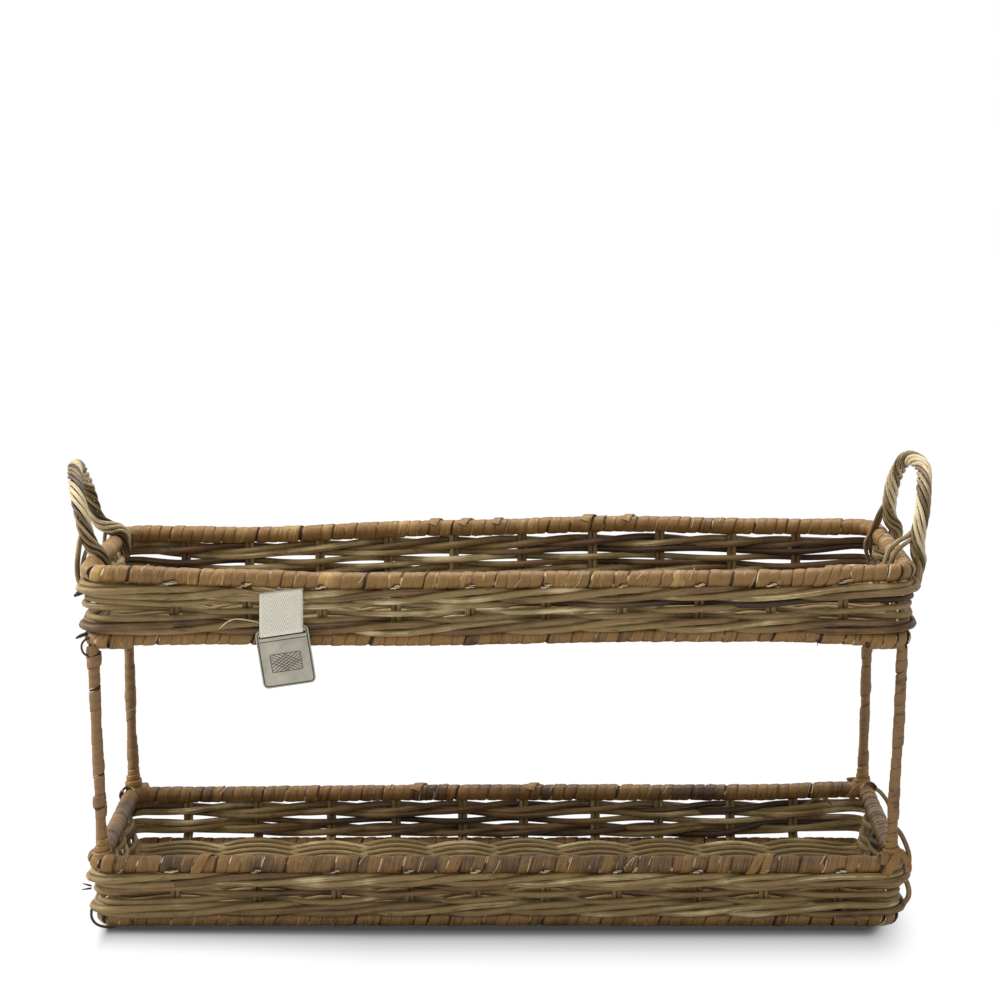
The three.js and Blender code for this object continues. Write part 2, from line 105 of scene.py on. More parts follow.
# How far each rib's front and back stand aside from even spacing
STRAY = {
    "lower": (
        (-4, 2.5, 7, 7, 2.5, -0.5, -1.5, 4, -1, 0.5), (0.5, 3, 7.5, 5.5, 5, 0, 3.5, 0.5, 4, 0.5),
    ),
    "upper": (
        (-1, -1.5, -1.5, -1.5, -1.5, -0.5, 1, 3, 1, -0.5), (1.5, -2, 0, 0.5, -1.5, -1.5, 0.5, 0, 3, 0),
    ),
}
# How the real rims and hoops rise and sink along their length, as x and rise
LEVEL = ((-280, 0), (280, 0))
SAG = {
    "lower": {
        "front": (LEVEL, LEVEL),
        "back": (LEVEL, ((-280, -3), (0, -1), (200, -1), (280, 1.5))),
    },
    "upper": {
        "front": (
            ((-280, 0), (-200, 1), (-80, 0), (120, 3), (200, 3), (280, 0)),
            ((-280, 4), (-200, 1.5), (-110, -1), (60, 0), (200, 1), (280, 5)),
        ),
        "back": (
            ((-280, 0), (0, 0.5), (120, 1.5), (280, 0)),
            ((-280, -5), (-200, -6), (-40, -0.5), (100, 3), (200, 1), (280, 0.5)),
        ),
    },
}

# Floors: single strands that pass over and under the ribs, inside the base hoop
FLOOR_STRANDS = 28
FLOOR_GAP = 5.8  # from the base hoop's centreline to the floor's edge
RIB_REACH = 7.7  # from the base hoop's centreline to the ribs that bend round it
RIB_BEND = (75, 55, 32, 10)  # the directions in which their bend passes the hoop, in degrees
RIB_BEND_START = 1  # how far above the hoop's reach the bend starts
RIB_FLAT = (0.1, 0.3, 0.5, 0.7, 0.9)  # shares of the way under the floor
PAIR_SQUEEZE = 0.98  # how close the two rods of a rib lie
FLOOR_STEPS = 8  # points of a floor strand from rib to rib
FLOOR_STRAY = 0.35  # how far it strays sideways, and over which length
FLOOR_STRAY_LENGTH = 37
FLOOR_TONES = (0.3, 0.9)

# Uprights
WALL_SHARES = (0, 0.33, 0.66, 1)  # shares of the wall's height where a stake has points
STAKE_TUCK = 1.2  # how far a stake's end is hidden in the rim
STAKE_FOOT_TUCK = 1  # and in the hoop
STAKE_TONES = (0.25, 0.75)

# Posts
# How far each post leans outwards from its foot to its top, and where its foot stands
POST_LEAN = {"front_left": 4, "front_right": 5, "back_left": 3, "back_right": 2}
POST_SHIFT = {"front_left": -1.4, "front_right": 0.7, "back_left": -1.8, "back_right": 1.3}
# Knots under the peel: their share of the post's height, and how far they swell
POST_KNOTS = {
    "front_left": ((0.935, 2.0), (0.76, 0.3), (0.4, 0.4), (0.24, 1.4)),
    "front_right": ((0.9, 0.4), (0.55, 0.4), (0.2, 0.5)),
    "back_left": ((0.84, 0.5), (0.45, 0.4), (0.12, 0.7)),
    "back_right": ((0.88, 0.5), (0.6, 0.3), (0.14, 0.8)),
}
KNOT_LENGTH = 5
POST_LENGTH = 156  # about a post's height, on which the knots are spread
POST_STEPS = 80
POST_TUCK = 1.5  # how far a post's ends are hidden
POST_BEND = 0.7  # how far it bends, and how quickly along its height
POST_BEND_PACE = 3.4
POST_UNEVEN = 0.25  # how unevenly thick it is, and how quickly that changes
POST_UNEVEN_PACE = 9
POST_OVERLAP = 1  # how far each turn of its peel lies over the one before
POST_PEEL_INSET = 0.55  # from a post's surface to the middle of its peel
POST_PEEL_THICKNESS = 0.9
POST_PEEL_CUP = 0.35
POST_TINT = 0.4
# The binding at a post's foot
BINDING_WIDTH = 5.6
BINDING_PITCH = 4.6
BINDING_THICKNESS = 1.6
BINDING_STEPS = 24
BINDING_TAPER = 17  # after how many steps it is as thick as the post
BINDING_ENDS = (-1, -2)  # how far its ends stand off its node's foot and top
BINDING_INSETS = (0.8, 0.2)  # from its node's side and the post's side to the peel's middle
BINDING_TINT = 0.45

# Peel that is wound round the hoops, rims and posts
PEEL_THICKNESS = 1.9  # at the middle of the strip, which is thin at its edges
PEEL_TILT = math.radians(3)  # each turn rides up on the one before
PEEL_CUP = 0.14  # how far the strip's edges curl down
PEEL_JITTER = 2.0  # how unevenly the turns are spaced
PEEL_JITTER_LENGTHS = (9, 31)  # and over which lengths that changes
PEEL_UNEVEN = 0.4  # how unevenly thick a wound rod is
PEEL_UNEVEN_LENGTH = 8  # and over which length that changes
PEEL_EASE = 20  # how far from its ends a winding starts to be uneven
CORE_INSET = 1.1  # from the wound surface to the rod inside it
# How pale each winding is. The lower tray's are darker, which paints the shade under the upper tray
# and at the floor
PEEL_TINT = {
    ("lower", "base_hoop"): 0.2, ("lower", "rim"): -0.03,
    ("upper", "base_hoop"): 0.3, ("upper", "rim"): 0.56,
}
PEEL_SPREAD = {"lower": 0.16, "upper": 0.3}  # how much the turns of a winding differ
ROD_TINT = {"lower": 0.41, "upper": 0.49}  # how pale the walls' rods are
ROD_SPREAD = {"lower": 1.5, "upper": 1.2}  # and how much that changes along them
# How pale the dark cores are, which paint the shade in the seams between turns
CORE_SHADE_TINT = 0.3
# Extra turns at the corners: how far they reach either way, and how far they lie above the hoop
CORNER_BINDINGS = {
    ("lower", "base_hoop"): (21, 1.6), ("upper", "base_hoop"): (24, -0.8), ("lower", "rim"): (8, 1.6),
}
CORNER_BINDING_OUT = 1.2  # how far they stand outside it
CORNER_BINDING_EXTRA = 0.5  # how much wider they are
CORNER_BINDING_PITCH = 8

# Handles
HANDLE_RADIUS = 5.8
HANDLE_STRANDS = 7
HANDLE_STRAND_RADIUS = 1.45
HANDLE_CORE_RADIUS = 2.0
HANDLE_LAY = 62  # length of one turn of the rope
HANDLE_LAY_STEPS = 24  # points in one turn
HANDLE_FIT = 0.3  # between the rope and the rim
HANDLE_TUCK = {"right": 4, "left": 0}  # how far the rope's ends turn in behind the band
HANDLE_DROP = {"right": 0.7, "left": 2}  # how far the crown stays under its CAD height
HANDLE_FOOT_RISE = {"right": 4.4, "left": -6}  # rim centre to where a leg starts to bend
HANDLE_INSIDE = 0.6  # how far the left rope's feet stand off the rim's inside
HANDLE_FOOT_WIDTH = 0.5  # the rope's width at its feet, as a share
HANDLE_FOOT_LENGTH = 24  # and how soon it is whole
HANDLE_TINT = {"right": 0.38, "left": 0.1}
# The left tails are the darkest, which paints the shade they lie in
TAIL_TONES = {"right": (0, 0.35), "left": (0, 0.12)}
HANDLE_TOP_LEAN = {"right": 3.6, "left": 28.4}  # how far the top stands outside the feet
# Where each leg bends: its distance from the middle and how far it stands outside its foot,
# both as shares of the handle's half span, and its share of the handle's rise
HANDLE_BENDS = {
    ("right", -1): (
        (0.99, -0.025, 0.21), (0.95, -0.007, 0.4), (0.872, 0.037, 0.58), (0.684, 0.072, 0.79),
        (0.353, 0.106, 0.95),
    ),
    ("right", 1): (
        (0.997, -0.038, 0.13), (0.985, -0.096, 0.25), (0.935, -0.093, 0.45),
        (0.794, -0.063, 0.69), (0.441, 0, 0.93),
    ),
    ("left", -1): (
        (1, 0, 0.06), (1, 0.03, 0.15), (0.99, 0.085, 0.21), (0.979, 0.14, 0.29),
        (0.95, 0.187, 0.41), (0.841, 0.25, 0.63), (0.563, 0.335, 0.87),
    ),
    ("left", 1): (
        (1, 0.01, 0.02), (1, 0.06, 0.075), (0.995, 0.15, 0.105), (0.985, 0.24, 0.155),
        (0.965, 0.315, 0.25), (0.926, 0.36, 0.43), (0.801, 0.405, 0.68), (0.471, 0.44, 0.92),
    ),
}

# Rods that leave a handle's foot and curl over the rim or into the wall, and their radius
TAILS = {
    "right": (
        (1.7, (303, 62, 294), (295, 66, 281), (291, 68, 271), (287, 70, 261), (284, 70, 253),
         (287, 70, 239)),
        (1.5, (302, 65, 289), (297, 68, 279), (294, 70, 270), (290, 72, 261), (288, 72, 250),
         (291, 72, 240)),
        (1.7, (309, -63, 292), (300, -66, 284), (293, -66, 280), (286, -67, 273),
         (283, -68, 265), (282, -68, 252)),
        (1.6, (309, -65, 288), (301, -68, 281), (294, -69, 276), (289, -70, 270),
         (286, -70, 262), (285, -70, 252)),
        (1.4, (307, -60, 290), (298, -61, 282), (291, -61, 278), (285, -62, 270),
         (281, -62, 260)),
        (1.2, (287, -58, 266), (281, -59, 270), (275, -60, 273)),
        (1.2, (290, -62, 263), (283, -62, 267), (278, -62, 268)),
        (1.9, (308, -67, 284), (309, -69, 266), (308, -71, 252), (304, -76, 245)),
        (1.7, (305, -69, 282), (306, -72, 266), (305, -75, 252), (303, -80, 246)),
        (1.6, (306, 71, 282), (305, 76, 268), (304, 83, 257), (303, 89, 249)),
    ),
    "left": (
        (2.1, (-302, -64, 290), (-305, -68, 280), (-307, -70, 263), (-306, -72, 252),
         (-302, -76, 246)),
        (1.6, (-296, -66, 280), (-301, -67, 272), (-304, -66, 260), (-303, -62, 248)),
        (1.5, (-288, -62, 270), (-296, -58, 269), (-303, -54, 261), (-303, -50, 248)),
        (1.6, (-299, 67, 268), (-292, 70, 264), (-288, 71, 255), (-288, 72, 240)),
        (1.6, (-300, 66, 272), (-303, 68, 264), (-304, 66, 256), (-303, 60, 246)),
        (1.5, (-283, 72, 262), (-284, 80, 256), (-285, 90, 249)),
    ),
}

# Frays of the rims
ASLANT_STEPS = 8
# Straps that tie the right posts to the lower rim: width and route
STRAPS = (
    (7, (279, 99, 44), (281.5, 96, 48.5), (287, 95, 54), (293, 96, 55.5), (299, 99, 50)),
    (6.5, (282, -114, 41.5), (284, -117, 46), (288, -115.5, 52), (294, -105, 58)),
    (5, (299, -108, 42), (299.5, -110, 47), (296, -109, 54), (290, -105, 60)),
)
# Strips that cross the winding: tray, wall, place along it, drift, width
CROSSINGS = (
    ("upper", "front", 236, 15, 6.5), ("upper", "front", 243, 11, 5.5),
    ("upper", "back", -47, 9, 8), ("upper", "back", -22, 13, 7), ("upper", "back", 2, 8, 6),
    ("upper", "back", 74, 12, 8), ("upper", "back", 105, 10, 6.5),
    ("lower", "front", 190, 14, 6.5), ("lower", "front", 197, 9, 6),
    ("lower", "front", -215, 13, 7), ("lower", "back", -60, 11, 8), ("lower", "back", 30, 9, 7),
)
CROSSING_ANGLES = (-60, 150)  # from the outside of the rim over its top, in degrees
CROSSING_LIFT = 0.9  # how far they lie above the winding
CROSSING_TONES = (0.5, 0.8)
STRAP_TINT = 0.5

# Torn fibres along each rim
FIBRES = {"lower": 24, "upper": 14}
FIBRE_RADIUS = 0.24
FIBRE_ENDS = 275  # how far from the middle they reach along the rim
FIBRE_STARTS = {"front": (-70, 40), "back": (60, 130)}  # round the rim, in degrees
FIBRE_SWEEPS = (40, 100)  # and how far they go round it
FIBRE_DRIFTS = (1.5, 6)  # and along it
FIBRE_CURLS = (0, 0, 0.8, 1.6)  # how far their ends stand up
FIBRE_LIFT = 0.35
FIBRE_TONES = (0.1, 0.7)

# The notch in the winding at each stake, shown as a dark strip of painted shade, and the stake's cut
# ends that show in it.
# Each has its place along the rim, its angle round it and its width
NOTCH = (0, -30, 4.6)
CUT_ENDS = ((-1.6, -36, 0.8), (1.4, -22, 0.5), (0.8, -30, 0.45))
NOTCH_HALF = 3.6  # half of their lengths
CUT_END_HALF = 2.4
NOTCH_LIFT = 0.5  # how far they lie above the rim's surface
CUT_END_LIFT = 0.9
NOTCH_TONES = (0.0, 0.3)
CUT_END_TONES = (0.0, 0.8)

# Dark stubs and loops that stand out at the left corners, and loose strands: radius and route
SPRIGS = (
    (1.9, (-297, -104, 250), (-301.5, -105, 248.6), (-305, -105, 246.4)),
    (1.3, (-296, -104, 219), (-300.5, -105, 217.4), (-304.6, -105, 215.4)),
    (0.8, (-293, -107, 217), (-298, -108, 214.5), (-300.2, -108, 210), (-298.5, -108, 204.8),
     (-293, -108, 202.6), (-286, -106, 206)),
    (0.7, (-297, -104, 30.4), (-303.3, -104, 32.2)),
    (0.7, (-297, -105, 29), (-303.8, -106, 28.2)),
    (1.0, (-297, -108, 14), (-296.6, -110, 8), (-293, -111, 3.6), (-287, -111, 1.6),
     (-279, -110, 1.2)),
    (0.4, (229.4, -111, 218), (229.6, -112, 215), (230.2, -112.5, 211.3)),
)
# Strands that have sprung out of the right corners
SPRUNG = (
    (1.8, (291, -94, 72), (296, -95, 65.7), (301.4, -95, 51.4), (300.4, -95, 38), (296, -96, 30)),
    (2.0, (296, -92, 36), (300.4, -96, 30), (301.2, -98, 21), (295, -98, 12)),
    (1.6, (297, 72, 58), (300.5, 71, 55), (306, 70, 46.7), (307.5, 70, 36.2), (303, 69, 27)),
    (1.4, (229.6, 104, 28.4), (243, 104, 37), (256.9, 104, 43.6), (265.3, 104, 37)),
)
# A pale thread beside the tape
THREADS = (
    (0.5, (-170, -117, 228), (-172.6, -118, 230), (-184.8, -118, 232.2), (-192.7, -118, 230.8),
     (-199.9, -117, 224.9)),
)
# The two pins at the upper right corner
PINS = ((286.5, -113.5, 238.2), (286.7, -113.5, 230.7))
PIN_HEAD = ((0, 0.5), (0.3, 1.1), (0.8, 1.2), (1.2, 0.7))  # how far out, and the radius there

# Hang tag
TAPE_THICKNESS = 0.8
TAPE_LOOP = 4.6  # radius of the loop round the band
TAPE_LOOP_DROP = 0.9  # how far the loop sags under the band's middle
# Where the back of the loop has points, in degrees
TAPE_BACK_OF_LOOP = (-80, -100, -120, -140, -160, -180, -200, -220, -240, -255)
TAPE_FOLD = 2.74  # radius of the fold in the plate's slot
TAPE_ASKEW = 0.75  # how askew the tape already is at its loop
TAPE_STEP = 1.2  # between the points along it
TAPE_COLUMNS = 16  # faces across it
TAPE_WAVE = 0.25  # how far it strays from flat
TAPE_WAVE_SIZES = (9, 8)  # over which lengths across it and along it
YARN_BAND = 12  # width of each half of the herringbone
YARN_APEX = 8.2  # the first turn of the herringbone, from the tape's left edge
YARN_PITCH = 1.25  # coarser than the real yarn's, so that it shows
YARN_SLOPE = 0.364  # how far the pattern moves across for each millimetre along the tape
YARN_FUZZ = 0.9  # size of the yarn's fuzz
PATINA_SIZE = 9  # of the plate's dull patches
GRIT_SIZE = 0.6  # of its scratches
WEAR_SIZE = 2  # of the worn spots in its lines
PLATE_TOP = 2.0  # the plate's edges, from its hanging bar
PLATE_BOTTOM = 40.6
PLATE_HALF = 19.17
PLATE_CORNER = 4
PLATE_THICKNESS = 1.2

# Lines on the plate: a border, a rule under the tape, and a small trellis
BORDER_INSET = 1.3
BORDER_WIDTH = 0.9
RULE_Z = -6.6
RULE_WIDTH = 0.6
TRELLIS_SIZE = (22, 13)
TRELLIS_COUNT = 3
TRELLIS_WIDTH = 0.5
TRELLIS_CORNER = 0.6
LINE_RISE = 0.08  # how far a line stands out of the plate
LINE_DEPTH = 0.1  # how far it reaches into it
SHORTEST_LINE = 0.02  # the least share of a trellis line that is drawn

# Cane: how its tone is made, in millimetres and shares
FIBRE_LENGTH = 55
FLECK_LENGTH = 9
FLECK_WIDTH = 1.6
STAIN_SIZE = 28
# At the peel's edges: dark bands of painted shade for the seams between turns, and in places pale
# split pith, which also paints a highlight on edges that catch the light
SPLIT_SIZE = 11  # between the places where the peel's edges have split
FIBRE_SHARE = 0.95  # how much the fibres, the stains and the guide's tint count
STAIN_SHARE = 0.85
TINT_SHARE = 0.62
TONE_START = 0.2  # the tone where all of them are at their middle and the tint is 0
FLECK_FADE = (0.6, 0.72)  # the noise at which a fleck starts and is whole
FLECK_STRENGTH = 0.55
# The band of painted shade and split pith along a strip's edges
EDGE_SHADE_AND_SPLIT = (0.8, 0.95)  # the shares of a strip's half width where its edge starts and is whole
EDGE_SHADE_AND_SPLIT_STRENGTH = 0.85
SPLIT_FADE = 0.05
GLOSS_FADE = (0.3, 0.7)  # pale fibres shine a little more than dark ones
GLOSS_CHANGE = 0.08
RELIEF_STRENGTH = 0.7
CANE_IOR = 1.45
GRAIN_SHIFT = 3.0  # in metres: how far at most a guide's grain is shifted along the pattern
STRAND_SHIFT = 0.137  # the shift from one strand round a guide to the next, as a share of that
STRAND_COUNTS = 1000.0  # keeps the shades of one strand's stretches apart from the next one's

# Camera, lights and floor
# The camera was fitted to the photograph
LENS = 115.96
SENSOR = 36
CAMERA_PLACE = (0.0037, -2.3835, 0.6878)
CAMERA_DOWN = 0.1615  # how far it looks down, and how far it is rolled, in radians
CAMERA_ROLL = 0.0009
# Each lamp's place, the height of the point on the axis that it faces, its power and its size
LAMPS = {
    "key_lamp": ((-2.1, 0.1, 1.45), 0.15, 60, 0.9),
    "top_lamp": ((0.2, 0.5, 2.3), 0.2, 36, 1.0),
    "fill_lamp": ((0.5, -2.6, 1.3), 0.15, 11, 1.6),
}
WORLD_LIGHT = 0.33
FLOOR_REACH = 8  # in metres

# The soft shadow painted on the floor under the tray, in metres: its middle and the half size of its
# core
SHADOW_MIDDLE = (-0.0085, -0.032, 0)
SHADOW_INNER = (0.2745, 0.049, 0)
SHADOW_CORNER = 0.03
SHADOW_REACH = 0.105
# How much faster it fades to the left and to the right than to the front
SHADOW_ENDS = (9, 3)
# Towards the left it fades faster in every direction: from where to where, and how much
SHADOW_LEFT = (-0.27, -0.08, 1.6)
# How bright the paper glows at shares of the painted shadow's reach
SHADOW_TONES = (
    (0.0, 0.05), (0.05, 0.08), (0.12, 0.17), (0.21, 0.41), (0.31, 0.56), (0.4, 0.65),
    (0.58, 0.81), (0.76, 0.92), (1.0, 1.0),
)


def linear(code):
    """An sRGB hex colour as the linear values that shaders take."""
    parts = [int(code[i:i + 2], 16) / 255 for i in (1, 3, 5)]
    return tuple(v / 12.92 if v <= 0.04045 else ((v + 0.055) / 1.055) ** 2.4 for v in parts) + (1,)


def colour(title, code, about):
    """A colour that the user can set."""
    return bpy.props.FloatVectorProperty(
        name=title, description=about, subtype="COLOR", size=4, min=0, max=1, default=linear(code)
    )


def length(title, millimetres, about):
    """A length that the user can set."""
    return bpy.props.FloatProperty(
        name=title, description=about, default=millimetres * MM, min=0.0001, unit="LENGTH"
    )


class RattanSizes(bpy.types.PropertyGroup):
    """Sizes of the rods and peel."""

    band_rod: length("Band rod", 2.65, "Radius of the rods in the twisted bands")
    row_rod: length("Row rod", 2.45, "Radius of the rods in the plain rows")
    stake_rod: length("Stake rod", 1.9, "Radius of the rods of the ribs and stakes")
    floor_rod: length("Floor rod", 2.1, "Radius of the floor's strands")
    peel_width: length("Peel width", 9.4, "Width of the peel round the hoops and rims")
    peel_pitch: length("Peel pitch", 8.5, "Distance from one turn of the peel to the next")
    post_pitch: length("Post pitch", 8, "Distance between the peel's turns on the posts")
    tape_width: length("Tape width", 31, "Width of the hang tag's tape")


class RattanColours(bpy.types.PropertyGroup):
    """Colours of the finishes."""

    peel_pale: colour("Pale peel", "#C4A05F", "Sunlit side of the peel")
    peel_mid: colour("Peel", "#84612F", "The peel in general")
    # The dark peel also paints the shade in the seams at the peel's edges
    peel_dark: colour("Dark peel", "#3F2812", "Aged peel and its edges")
    post_brown: colour("Post peel", "#81613B", "The peel on the posts")
    rod_pale: colour("Pale rod", "#D6C294", "Palest rods of the walls")
    rod_mid: colour("Rod", "#877045", "The rods of the walls in general")
    rod_red: colour("Red rod", "#6E5131", "Rods with a red tinge")
    # The dark rod also colours the cores, which paint the shade in the seams and grooves
    rod_dark: colour("Dark rod", "#35240F", "Stained rods and their cracks")
    rope_pale: colour("Pale rope", "#CDBB95", "Palest rods of the handles")
    rope_dark: colour("Dark rope", "#3C2C18", "Darkest rods of the handles")
    # The pith also colours the pale places on the peel's edges, split peel that paints a highlight too
    pith: colour("Pith", "#D9C9A4", "Torn fibres and cut ends")
    cotton: colour("Cotton", "#F0EBDB", "The hang tag's tape")
    cotton_shade: colour("Cotton shade", "#7B7358", "Between the tape's yarns")
    zinc: colour("Zinc", "#C3BEAD", "The hang tag's plate")
    zinc_patina: colour("Zinc patina", "#8E8A7C", "Dull patches on the plate")
    enamel: colour("Dark line", "#1F1D1A", "Lines stamped on the plate")
    enamel_worn: colour("Worn line", "#4A463E", "Where those lines are worn")
    brass: colour("Brass", "#A8976A", "Heads of the two pins")


def size(name):
    """One of the user's sizes, in millimetres."""
    return getattr(bpy.context.scene.rattan_sizes, name) / MM


def paint(name):
    """One of the user's colours."""
    return tuple(getattr(bpy.context.scene.rattan_colours, name))


def span(node):
    """A node's lowest and highest corners, in millimetres."""
    low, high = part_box(node)
    return low / MM, high / MM


def frame_joint(name):
    """A joint's point in millimetres and its axis, from the record."""
    for joint in frame["joints"]:
        if joint.get("name") == name:
            return Vector(joint["pos_m"]) / MM, Vector(joint["axis"])
    raise RuntimeError(f"the frame has no joint {name}")


def placed(name, data):
    """A new object in the scene, at the origin."""
    thing = bpy.data.objects.new(name, data)
    bpy.context.scene.collection.objects.link(thing)
    return thing


def smooth(share):
    """Eases a share from 0 to 1."""
    share = min(1.0, max(0.0, share))
    return share * share * (3 - 2 * share)


def mix(a, b, share):
    """The value at a share of the way from a to b."""
    return a + (b - a) * share


def hump(away, reach):
    """1 in the middle, and almost 0 at twice the reach."""
    return math.exp(-((away / reach) ** 2))


def turned(degrees, ahead, aside):
    """A direction turned by an angle from one direction towards another."""
    angle = math.radians(degrees)
    return ahead * math.cos(angle) + aside * math.sin(angle)


def wander(*at):
    """Smooth noise between about -1 and 1. Another last value gives another noise."""
    x, y, z = (*at, 0.0, 0.0)[:3]
    return NOISE_GAIN * noise.noise(Vector((x, y, z)))


# Guides: open lines that the rods and the peel follow


def running(places):
    """The length run at each point of a line."""
    run = [0.0]
    for a, b in zip(places, places[1:]):
        run.append(run[-1] + (b - a).length)
    return run


def even(places, girth):
    """Stations of one size along places with their ways out."""
    return [(place, out, girth, 0) for place, out in places]


class Guides:
    """Open lines of stations. A station is its place, its way out, its size and its turn."""

    def __init__(self, seed):
        self.chance = random.Random(seed)
        self.lines = []

    def line(self, stations, tint):
        """Adds a line. Its tint is one value, or one for each station."""
        tints = tint if isinstance(tint, list) else [tint] * len(stations)
        self.lines.append((stations, tints, self.chance.random()))

    def holder(self, name):
        """An object with the lines as edges, and what each point carries as attributes."""
        points = []
        edges = []
        data = {key: [] for key in ("out", "size", "turn", "tint", "seed")}
        for stations, tints, seed in self.lines:
            first = len(points)
            edges += [(first + i, first + i + 1) for i in range(len(stations) - 1)]
            for (place, out, girth, turn), tint in zip(stations, tints):
                points.append(place * MM)
                data["out"].extend(out.normalized())
                data["size"].append(girth * MM)
                data["turn"].append(turn)
                data["tint"].append(tint)
                data["seed"].append(seed)
        mesh = bpy.data.meshes.new(name)
        mesh.from_pydata(points, edges, [])
        for key, values in data.items():
            kind, slot = ("FLOAT_VECTOR", "vector") if key == "out" else ("FLOAT", "value")
            mesh.attributes.new(key, kind, "POINT").data.foreach_set(slot, values)
        return placed(name, mesh)


def round_section(sides):
    """A circle of radius 1, as points."""
    return [(math.cos(TURN * i / sides), math.sin(TURN * i / sides)) for i in range(sides)]


def strip_section(width, thickness, tilt=0.0, cup=0.0):
    """A strip that is thick in its middle, tilted and cupped to lie on the turn before."""
    points = []
    # The powers make it fuller than an ellipse and curl its edges down late
    for x, y in round_section(12):
        a = math.copysign(abs(x) ** 0.8, x) * thickness / 2 - cup * abs(y) ** 1.4
        b = math.copysign(abs(y) ** 0.7, y) * width / 2
        points.append((
            a * math.cos(tilt) - b * math.sin(tilt), a * math.sin(tilt) + b * math.cos(tilt)
        ))
    return points


# Node trees that turn guides into strands


def add(tree, kind, inputs=None, output=0, **settings):
    """Adds a node with its settings and links, and returns one of its outputs.

    An input is a link or a value, and goes by its name, or by its number where names repeat.
    With None as the output, the node itself is returned.
    """
    node = tree.nodes.new(kind)
    for name, value in settings.items():
        setattr(node, name, value)
    for key, value in (inputs or {}).items():
        if isinstance(value, bpy.types.NodeSocket):
            tree.links.new(value, node.inputs[key])
        else:
            node.inputs[key].default_value = value
    return node if output is None else node.outputs[output]


def new_tree(name, sockets):
    """A geometry tree with its inputs, and what those inputs give."""
    tree = bpy.data.node_groups.new(name, "GeometryNodeTree")
    tree.interface.new_socket("Geometry", in_out="INPUT", socket_type="NodeSocketGeometry")
    tree.interface.new_socket("Geometry", in_out="OUTPUT", socket_type="NodeSocketGeometry")
    for title, kind in sockets:
        tree.interface.new_socket(title, in_out="INPUT", socket_type=f"NodeSocket{kind}")
    return tree, add(tree, "NodeGroupInput", output=None).outputs


def carried(tree, name, kind="FLOAT"):
    """A named attribute of the guides."""
    return add(tree, "GeometryNodeInputNamedAttribute", {"Name": name}, data_type=kind)


def sweep(tree, curve, out, scale, given):
    """Draws the section along a curve, and stores how each face's grain runs."""
    run = add(tree, "GeometryNodeSplineParameter", output="Length")
    curve = add(tree, "GeometryNodeStoreNamedAttribute", {
        "Geometry": curve, "Name": "along", "Value": run,
    }, data_type="FLOAT", domain="POINT")
    curve = add(tree, "GeometryNodeSetCurveNormal", {"Curve": curve, "Normal": out}, mode="FREE")
    section = add(tree, "GeometryNodeObjectInfo", {"Object": given["Section"]}, "Geometry")
    section = add(tree, "GeometryNodeMeshToCurve", {"Mesh": section})
    mesh = add(tree, "GeometryNodeCurveToMesh", {
        "Curve": curve, "Profile Curve": section, "Scale": scale, "Fill Caps": True,
    })
    across = add(tree, "ShaderNodeVectorMath", {
        0: carried(tree, "across", "FLOAT_VECTOR"), 3: scale,
    }, operation="SCALE")
    across = add(tree, "ShaderNodeSeparateXYZ", {0: across}, None).outputs
    along = add(tree, "ShaderNodeMath", {
        0: carried(tree, "seed"), 1: GRAIN_SHIFT, 2: carried(tree, "along"),
    }, operation="MULTIPLY_ADD")
    grain = add(tree, "ShaderNodeCombineXYZ", {0: along, 1: across[0], 2: across[1]})
    mesh = add(tree, "GeometryNodeStoreNamedAttribute", {
        "Geometry": mesh, "Name": "grain", "Value": grain,
    }, data_type="FLOAT_VECTOR", domain="POINT")
    mesh = add(tree, "GeometryNodeSetShadeSmooth", {"Geometry": mesh})
    mesh = add(tree, "GeometryNodeRealizeInstances", {0: mesh})
    mesh = add(tree, "GeometryNodeSetMaterial", {"Geometry": mesh, "Material": given["Finish"]})
    add(tree, "NodeGroupOutput", {0: mesh}, None)


def rods_tree():
    """Rods that follow their guides, as thick as the guide says."""
    tree, given = new_tree("Rods along guides", [("Section", "Object"), ("Finish", "Material")])
    curve = add(tree, "GeometryNodeMeshToCurve", {"Mesh": given["Geometry"]})
    sweep(tree, curve, carried(tree, "out", "FLOAT_VECTOR"), carried(tree, "size"), given)
    return tree


